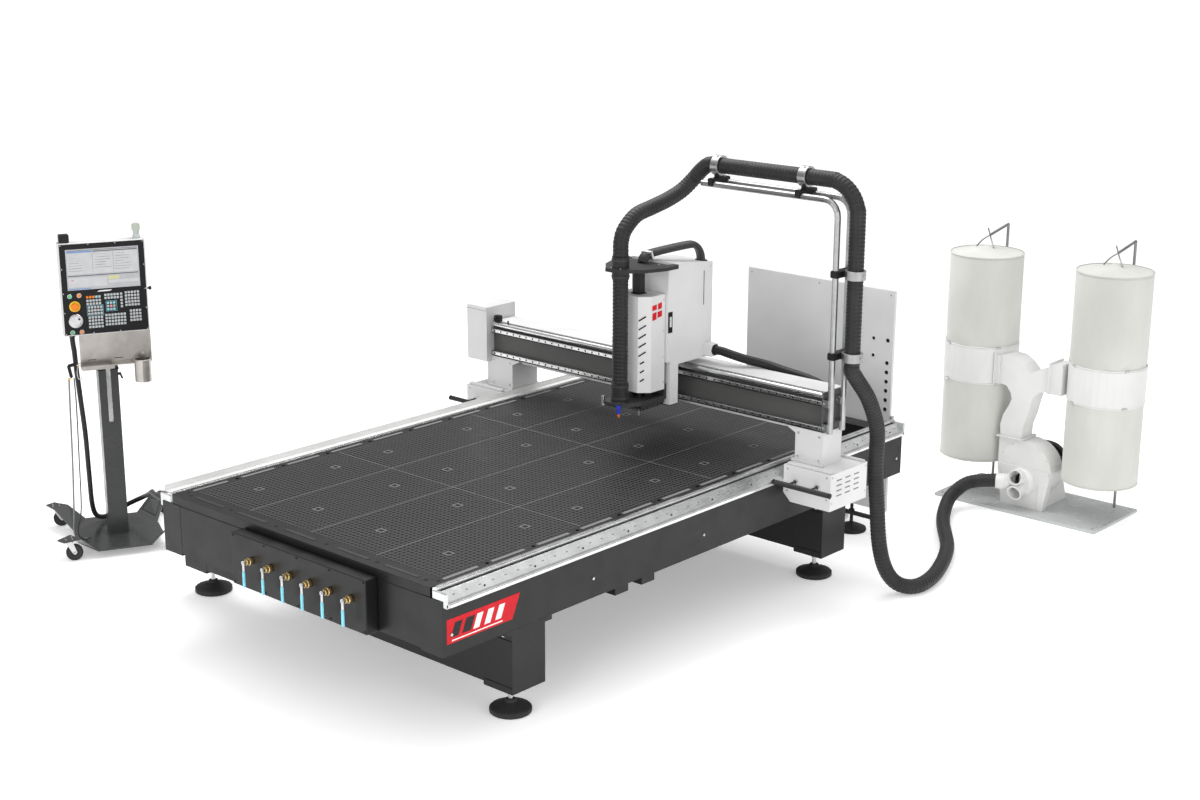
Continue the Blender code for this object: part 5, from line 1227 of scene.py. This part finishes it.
def settle(item, held, pressure, shrink, frames):
    """Run a cloth simulation on `item` and keep its last shape; `held` tells which vertices are tied."""
    group = item.vertex_groups.new(name="held")
    for vert in item.data.vertices:
        if held(vert.co):
            group.add([vert.index], 1.0, "REPLACE")
    cloth = item.modifiers.new("cloth", "CLOTH")
    settings = cloth.settings
    settings.quality = 7
    settings.mass = 0.35
    settings.tension_stiffness = 18
    settings.compression_stiffness = 12
    settings.shear_stiffness = 8
    settings.bending_stiffness = 0.8
    settings.air_damping = 3
    settings.use_pressure = True
    settings.uniform_pressure_force = pressure
    settings.vertex_group_mass = "held"
    settings.shrink_min = shrink
    cloth.point_cache.frame_start = 1
    cloth.point_cache.frame_end = frames
    scene = bpy.context.scene
    for number in range(1, frames + 1):
        scene.frame_set(number)
    graph = bpy.context.evaluated_depsgraph_get()
    settled = bpy.data.meshes.new_from_object(item.evaluated_get(graph))
    item.modifiers.clear()
    item.data = settled
    scene.frame_set(1)
    return item


def wrinkle(mesh, tied_z, far_z, amount, seed):
    """Soft vertical folds that fade away from the tied end."""
    generator = random.Random(seed)
    phases = [(generator.randint(5, 13), generator.uniform(0, math.tau), generator.uniform(0.4, 1.0)) for _ in range(5)]
    for vert in mesh.vertices:
        radius = math.hypot(vert.co.x, vert.co.y)
        if radius < 0.05:
            continue
        angle = math.atan2(vert.co.y, vert.co.x)
        share = min(1.0, max(0.0, (vert.co.z - tied_z) / (far_z - tied_z)))
        fade = math.exp(-share * 3.5) * min(1.0, share * 12)
        push = sum(math.sin(n * angle + phase + share * 2) * weight for n, phase, weight in phases) / 5 * amount * fade
        scale = (radius + push) / radius
        vert.co.x *= scale
        vert.co.y *= scale


def filter_bags():
    """Sewn bags: the upper ones blown up by the fan, the lower ones hanging with dust in them."""
    r = BAG_RADIUS
    frames = 26
    upper_profile = [(r - 0.001, RING_HIGH - 0.03), (r - 0.001, BAG_TOP), (r - 0.012, BAG_TOP + 0.010), (0.02, BAG_TOP + 0.050)]
    lower_profile = [(r - 0.001, RING_LOW + 0.03), (r - 0.001, BAG_BOTTOM + 0.02), (r - 0.020, BAG_BOTTOM + 0.004),
                     (0.02, BAG_BOTTOM + 0.002)]
    for number, (side, x) in enumerate(BAG_X.items()):
        for kind, profile, tied, far in (("filter_bag", upper_profile, RING_HIGH, BAG_TOP), ("dust_bag", lower_profile, RING_LOW, BAG_BOTTOM)):
            name = "%s_%s" % (kind, side)
            item = cloth_tube(name + "_cloth", profile, 46, 64)
            wrinkle(item.data, tied, far, 0.006 if kind == "filter_bag" else 0.010, number * 3 + len(kind))
            up = kind == "filter_bag"

            def held(place, up=up):
                tied_end = place.z < RING_HIGH + 0.004 if up else place.z > RING_LOW - 0.004
                hung = math.hypot(place.x, place.y) < 0.03
                rim = abs(place.z - BAG_TOP) < 0.006 if up else abs(place.z - BAG_BOTTOM) < 0.008
                return tied_end or hung or rim

            settle(item, held, 1.2 if up else 0.6, 0.0, frames)
            item.data.transform(TABLE @ Matrix.Translation((x, BAG_Y, 0)) @ Matrix.Rotation(0.9 + number * 2.2, 4, "Z"))
            item.data.materials.clear()
            item.data.materials.append(FELT)
            item.data.shade_smooth()
            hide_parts(name)
            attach(item, "machine")


def bag_fittings():
    """Clamp straps with buckles, sewn rims, seams, hanger straps and bolted ring joints."""
    straps, buckles, rims, seams, ties, posts = [], [], [], [], [], []
    r = BAG_RADIUS
    for side, x in BAG_X.items():
        for z in (RING_LOW - 0.006, RING_HIGH + 0.006):
            straps.append(band((x, BAG_Y, z), (0, 0, 1), r - 0.0005, r + 0.0030, 0.011, 64))
            for angle in (-2.1, -0.6):
                spot = Vector((x + (r + 0.006) * math.cos(angle), BAG_Y + (r + 0.006) * math.sin(angle), z))
                buckles.append(bar(spot, (0.010, 0.036, 0.014), Matrix.Rotation(angle, 3, "Z"), 0.003))
        rims.append(band((x, BAG_Y, BAG_TOP + 0.002), (0, 0, 1), r - 0.004, r + 0.0016, 0.010, 64))
        rims.append(band((x, BAG_Y, BAG_BOTTOM + 0.014), (0, 0, 1), r - 0.006, r + 0.0012, 0.008, 64))
        for angle in (1.2, 2.7):
            for low, high in ((RING_HIGH + 0.012, BAG_TOP), (BAG_BOTTOM + 0.018, RING_LOW - 0.012)):
                spot = Vector((x + (r + 0.0006) * math.cos(angle), BAG_Y + (r + 0.0006) * math.sin(angle), (low + high) / 2))
                seams.append(bar(spot, (0.0020, 0.010, high - low), Matrix.Rotation(angle, 3, "Z"), 0.0008))
        post_y = BAG_Y + r + 0.010
        top = BAG_TOP + 0.16
        hang = Vector((x, BAG_Y + 0.02, BAG_TOP + 0.115))
        ties.append(cable([hang, hang + Vector((-0.035, -0.03, -0.03)), (x - 0.075, BAG_Y - 0.02, BAG_TOP + 0.036)], 0.0045, 5, 8))
        ties.append(cable([hang + Vector((-0.02, 0.005, 0.045)), hang + Vector((0.01, -0.005, -0.02)),
                           (x + 0.055, BAG_Y - 0.02, BAG_TOP + 0.040)], 0.0045, 5, 8))
        posts.append(rod((x, post_y, 0.0203), (x, post_y, top - 0.002), 0.0093, 12))
        posts.append(rod((x, post_y + 0.002, top - 0.001), (x, BAG_Y + 0.018, BAG_TOP + 0.115), 0.0090, 12))
    detail("bag_straps", straps, DUCT_WHITE, "machine")
    detail("bag_buckles", buckles, STEEL, "machine")
    detail("bag_rims", rims, SEAM_FELT, "machine", angle=60)
    detail("bag_seams", seams, SEAM_FELT, "machine", angle=60)
    detail("bag_hangers", ties, POST_STEEL, "machine")
    detail("bag_posts", posts, POST_STEEL, "machine")
    bolts = []
    for x in (1.024, 1.426):
        for y in (3.186, 3.27, 3.352):
            for z in (0.842, 1.038):
                bolts.append(bolt((x, y, z), (-1, 0, 0), 0.005, 0.004))
    for x in (1.078, 1.26):
        for y in (3.192, 3.365):
            bolts.append(bolt((x, y, 0.486), (0, 0, 1), 0.005, 0.004))
    for i in range(12):
        angle = math.tau * i / 12
        bolts.append(bolt((1.285 + 0.190 * math.cos(angle), 3.2, 0.275 + 0.190 * math.sin(angle)), (0, -1, 0), 0.004, 0.003))
    for x in (0.725, 1.855):
        for y in (3.10, 3.64):
            bolts.append(bolt((x, y, 0.020), (0, 0, 1), 0.009, 0.006))
    detail("collector_bolts", bolts, STEEL, "machine")


def motor_fins():
    """Cooling fins, fan cowl, grille and terminal box of the blower motor."""
    x, z, start = 1.285, 0.275, 3.3603
    fins = []
    for i in range(30):
        angle = math.tau * i / 30
        if abs(math.sin(angle) - 1) < 0.12:
            continue
        spot = Vector((x + 0.117 * math.cos(angle), start + 0.095, z + 0.117 * math.sin(angle)))
        fins.append(bar(spot, (0.014, 0.135, 0.003), Matrix.Rotation(-angle, 3, "Y"), 0.0006))
    fins.append(turned([(0.121, 0), (0.123, 0.004), (0.123, 0.040), (0.112, 0.052), (0.06, 0.054)], (x, start + 0.168, z), (0, 1, 0), 40, closed=False))
    detail("motor_fins", fins, BLACK, "machine")
    grille = [band((x, start + 0.2215, z), (0, 1, 0), radius, radius + 0.004, 0.003, 32) for radius in (0.03, 0.048, 0.066, 0.084, 0.10)]
    detail("motor_grille", grille, DARK_GREY, "machine")
    box = [block((x - 0.045, start + 0.045, z + 0.108), (x + 0.045, start + 0.135, z + 0.150), 0.005)]
    detail("motor_terminal_box", box, BLACK, "machine")


def inlet_fittings():
    """Rims of the inlet ports and the stiffening ribs."""
    rims = []
    x = 1.285
    for z_in, z_out in ((0.235, 0.252), (0.165, 0.142)):
        aim = (Vector((x, 3.085, z_out)) - Vector((x, 3.165, z_in))).normalized()
        rims.append(turned([(0.0437, -0.006), (0.0437, 0.001), (0.0525, 0.001), (0.0530, -0.006)], (x, 3.085, z_out), aim, 36, closed=False))
    detail("inlet_rims", rims, DUCT_WHITE, "machine")
    ribs = [block((x - 0.060, 3.1895, 0.052), (x - 0.054, 3.1925, 0.150), 0.001), block((x + 0.110, 3.1895, 0.040), (x + 0.116, 3.1925, 0.22), 0.001)]
    detail("housing_ribs", ribs, DUCT_WHITE, "machine")


# ---------------------------------------------------------------- studio

def floor_and_backdrop():
    """A seamless pale floor plane larger than the view."""
    shape = bmesh.new()
    size = 60.0
    corners = [(-size, -size, -0.0004), (size, -size, -0.0004), (size, size, -0.0004), (-size, size, -0.0004)]
    shape.faces.new([shape.verts.new(corner) for corner in corners])
    mesh = bpy.data.meshes.new("floor")
    shape.to_mesh(mesh)
    shape.free()
    floor = bpy.data.objects.new("floor", mesh)
    bpy.context.scene.collection.objects.link(floor)
    mesh.materials.append(studio_floor())


def area_light(name, place, aim, size, power):
    lamp = bpy.data.lights.new(name, "AREA")
    lamp.shape = "RECTANGLE"
    lamp.size, lamp.size_y = size
    lamp.energy = power
    item = bpy.data.objects.new(name, lamp)
    bpy.context.scene.collection.objects.link(item)
    item.location = TABLE @ Vector(place)
    direction = TABLE @ Vector(aim) - item.location
    item.rotation_euler = direction.to_track_quat("-Z", "Y").to_euler()


def surroundings():
    """Pure white to the eye; a sky that is brightest overhead for light and reflections."""
    world = bpy.data.worlds.new("studio")
    world.use_nodes = True
    tree = world.node_tree
    seen = tree.nodes["Background"]
    direction = node(tree, "ShaderNodeTexCoord").outputs["Generated"]
    height = node(tree, "ShaderNodeSeparateXYZ", {0: direction}).outputs["Z"]
    path = node(tree, "ShaderNodeLightPath")
    ramps = []
    for low, high, dark in ((0.0, 0.8, 0.38), (0.15, 0.75, 0.07)):
        inputs = {"Value": height, "From Min": low, "From Max": high, "To Min": dark, "To Max": 1.0}
        ramps.append(node(tree, "ShaderNodeMapRange", inputs).outputs[0])
    strength = node(tree, "ShaderNodeMix", {"Factor": path.outputs["Is Glossy Ray"], 2: ramps[0], 3: ramps[1]}).outputs[0]
    sky = node(tree, "ShaderNodeBackground", {"Color": (1.0, 1.0, 1.0, 1.0), "Strength": strength})
    seen.inputs["Color"].default_value = (1.0, 1.0, 1.0, 1.0)
    mix = node(tree, "ShaderNodeMixShader", {0: path.outputs["Is Camera Ray"], 1: sky.outputs[0], 2: seen.outputs[0]})
    tree.links.new(mix.outputs[0], tree.nodes["World Output"].inputs["Surface"])
    bpy.context.scene.world = world


def lights():
    """A broad softbox overhead, a fill from the front and a fill from the right."""
    area_light("top_softbox", (-1.5, 1.5, 6.5), (0.2, 0.4, 0.5), (5.0, 5.0), 300)
    area_light("front_fill", (2.0, -8.0, 3.5), (0.2, 0.0, 0.8), (5.0, 3.0), 190)
    area_light("side_fill", (8.0, -1.0, 3.0), (1.0, 0.5, 0.8), (3.0, 3.0), 130)


def camera():
    """The picture's own place: from the machine's front right, a little above the spindle's hose."""
    lens = bpy.data.cameras.new("camera")
    lens.lens = 55.56
    lens.sensor_width = 36
    lens.clip_end = 200
    item = bpy.data.objects.new("camera", lens)
    bpy.context.scene.collection.objects.link(item)
    right = Vector((0.74362, 0.66859, 0.00346))
    up = Vector((-0.18153, 0.19692, 0.96347))
    back = right.cross(up)
    turn = Matrix((right, up, back)).transposed().to_4x4()
    item.matrix_world = TABLE @ Matrix.Translation((7.0692, -7.4969, 4.0399)) @ turn
    bpy.context.scene.camera = item


def main():
    surface_cad_nodes()
    bed_fittings()
    border_strips()
    guide_rails()
    frame_fittings()
    valve_fittings()
    foot_fittings()
    cabinet_fittings()
    beam_fittings()
    carriage_fittings()
    mast_fittings()
    bumper_fittings()
    hoses()
    flat_duct()
    gantry_cable()
    saddle_fittings()
    cover_vents()
    cover_mark()
    head_fittings()
    panel_face()
    keypad()
    panel_controls()
    panel_top()
    stand_fittings()
    tray_fittings()
    stand_cables()
    filter_bags()
    bag_fittings()
    motor_fins()
    inlet_fittings()
    floor_and_backdrop()
    surroundings()
    lights()
    camera()
    bpy.context.scene.view_settings.view_transform = "Standard"


main()
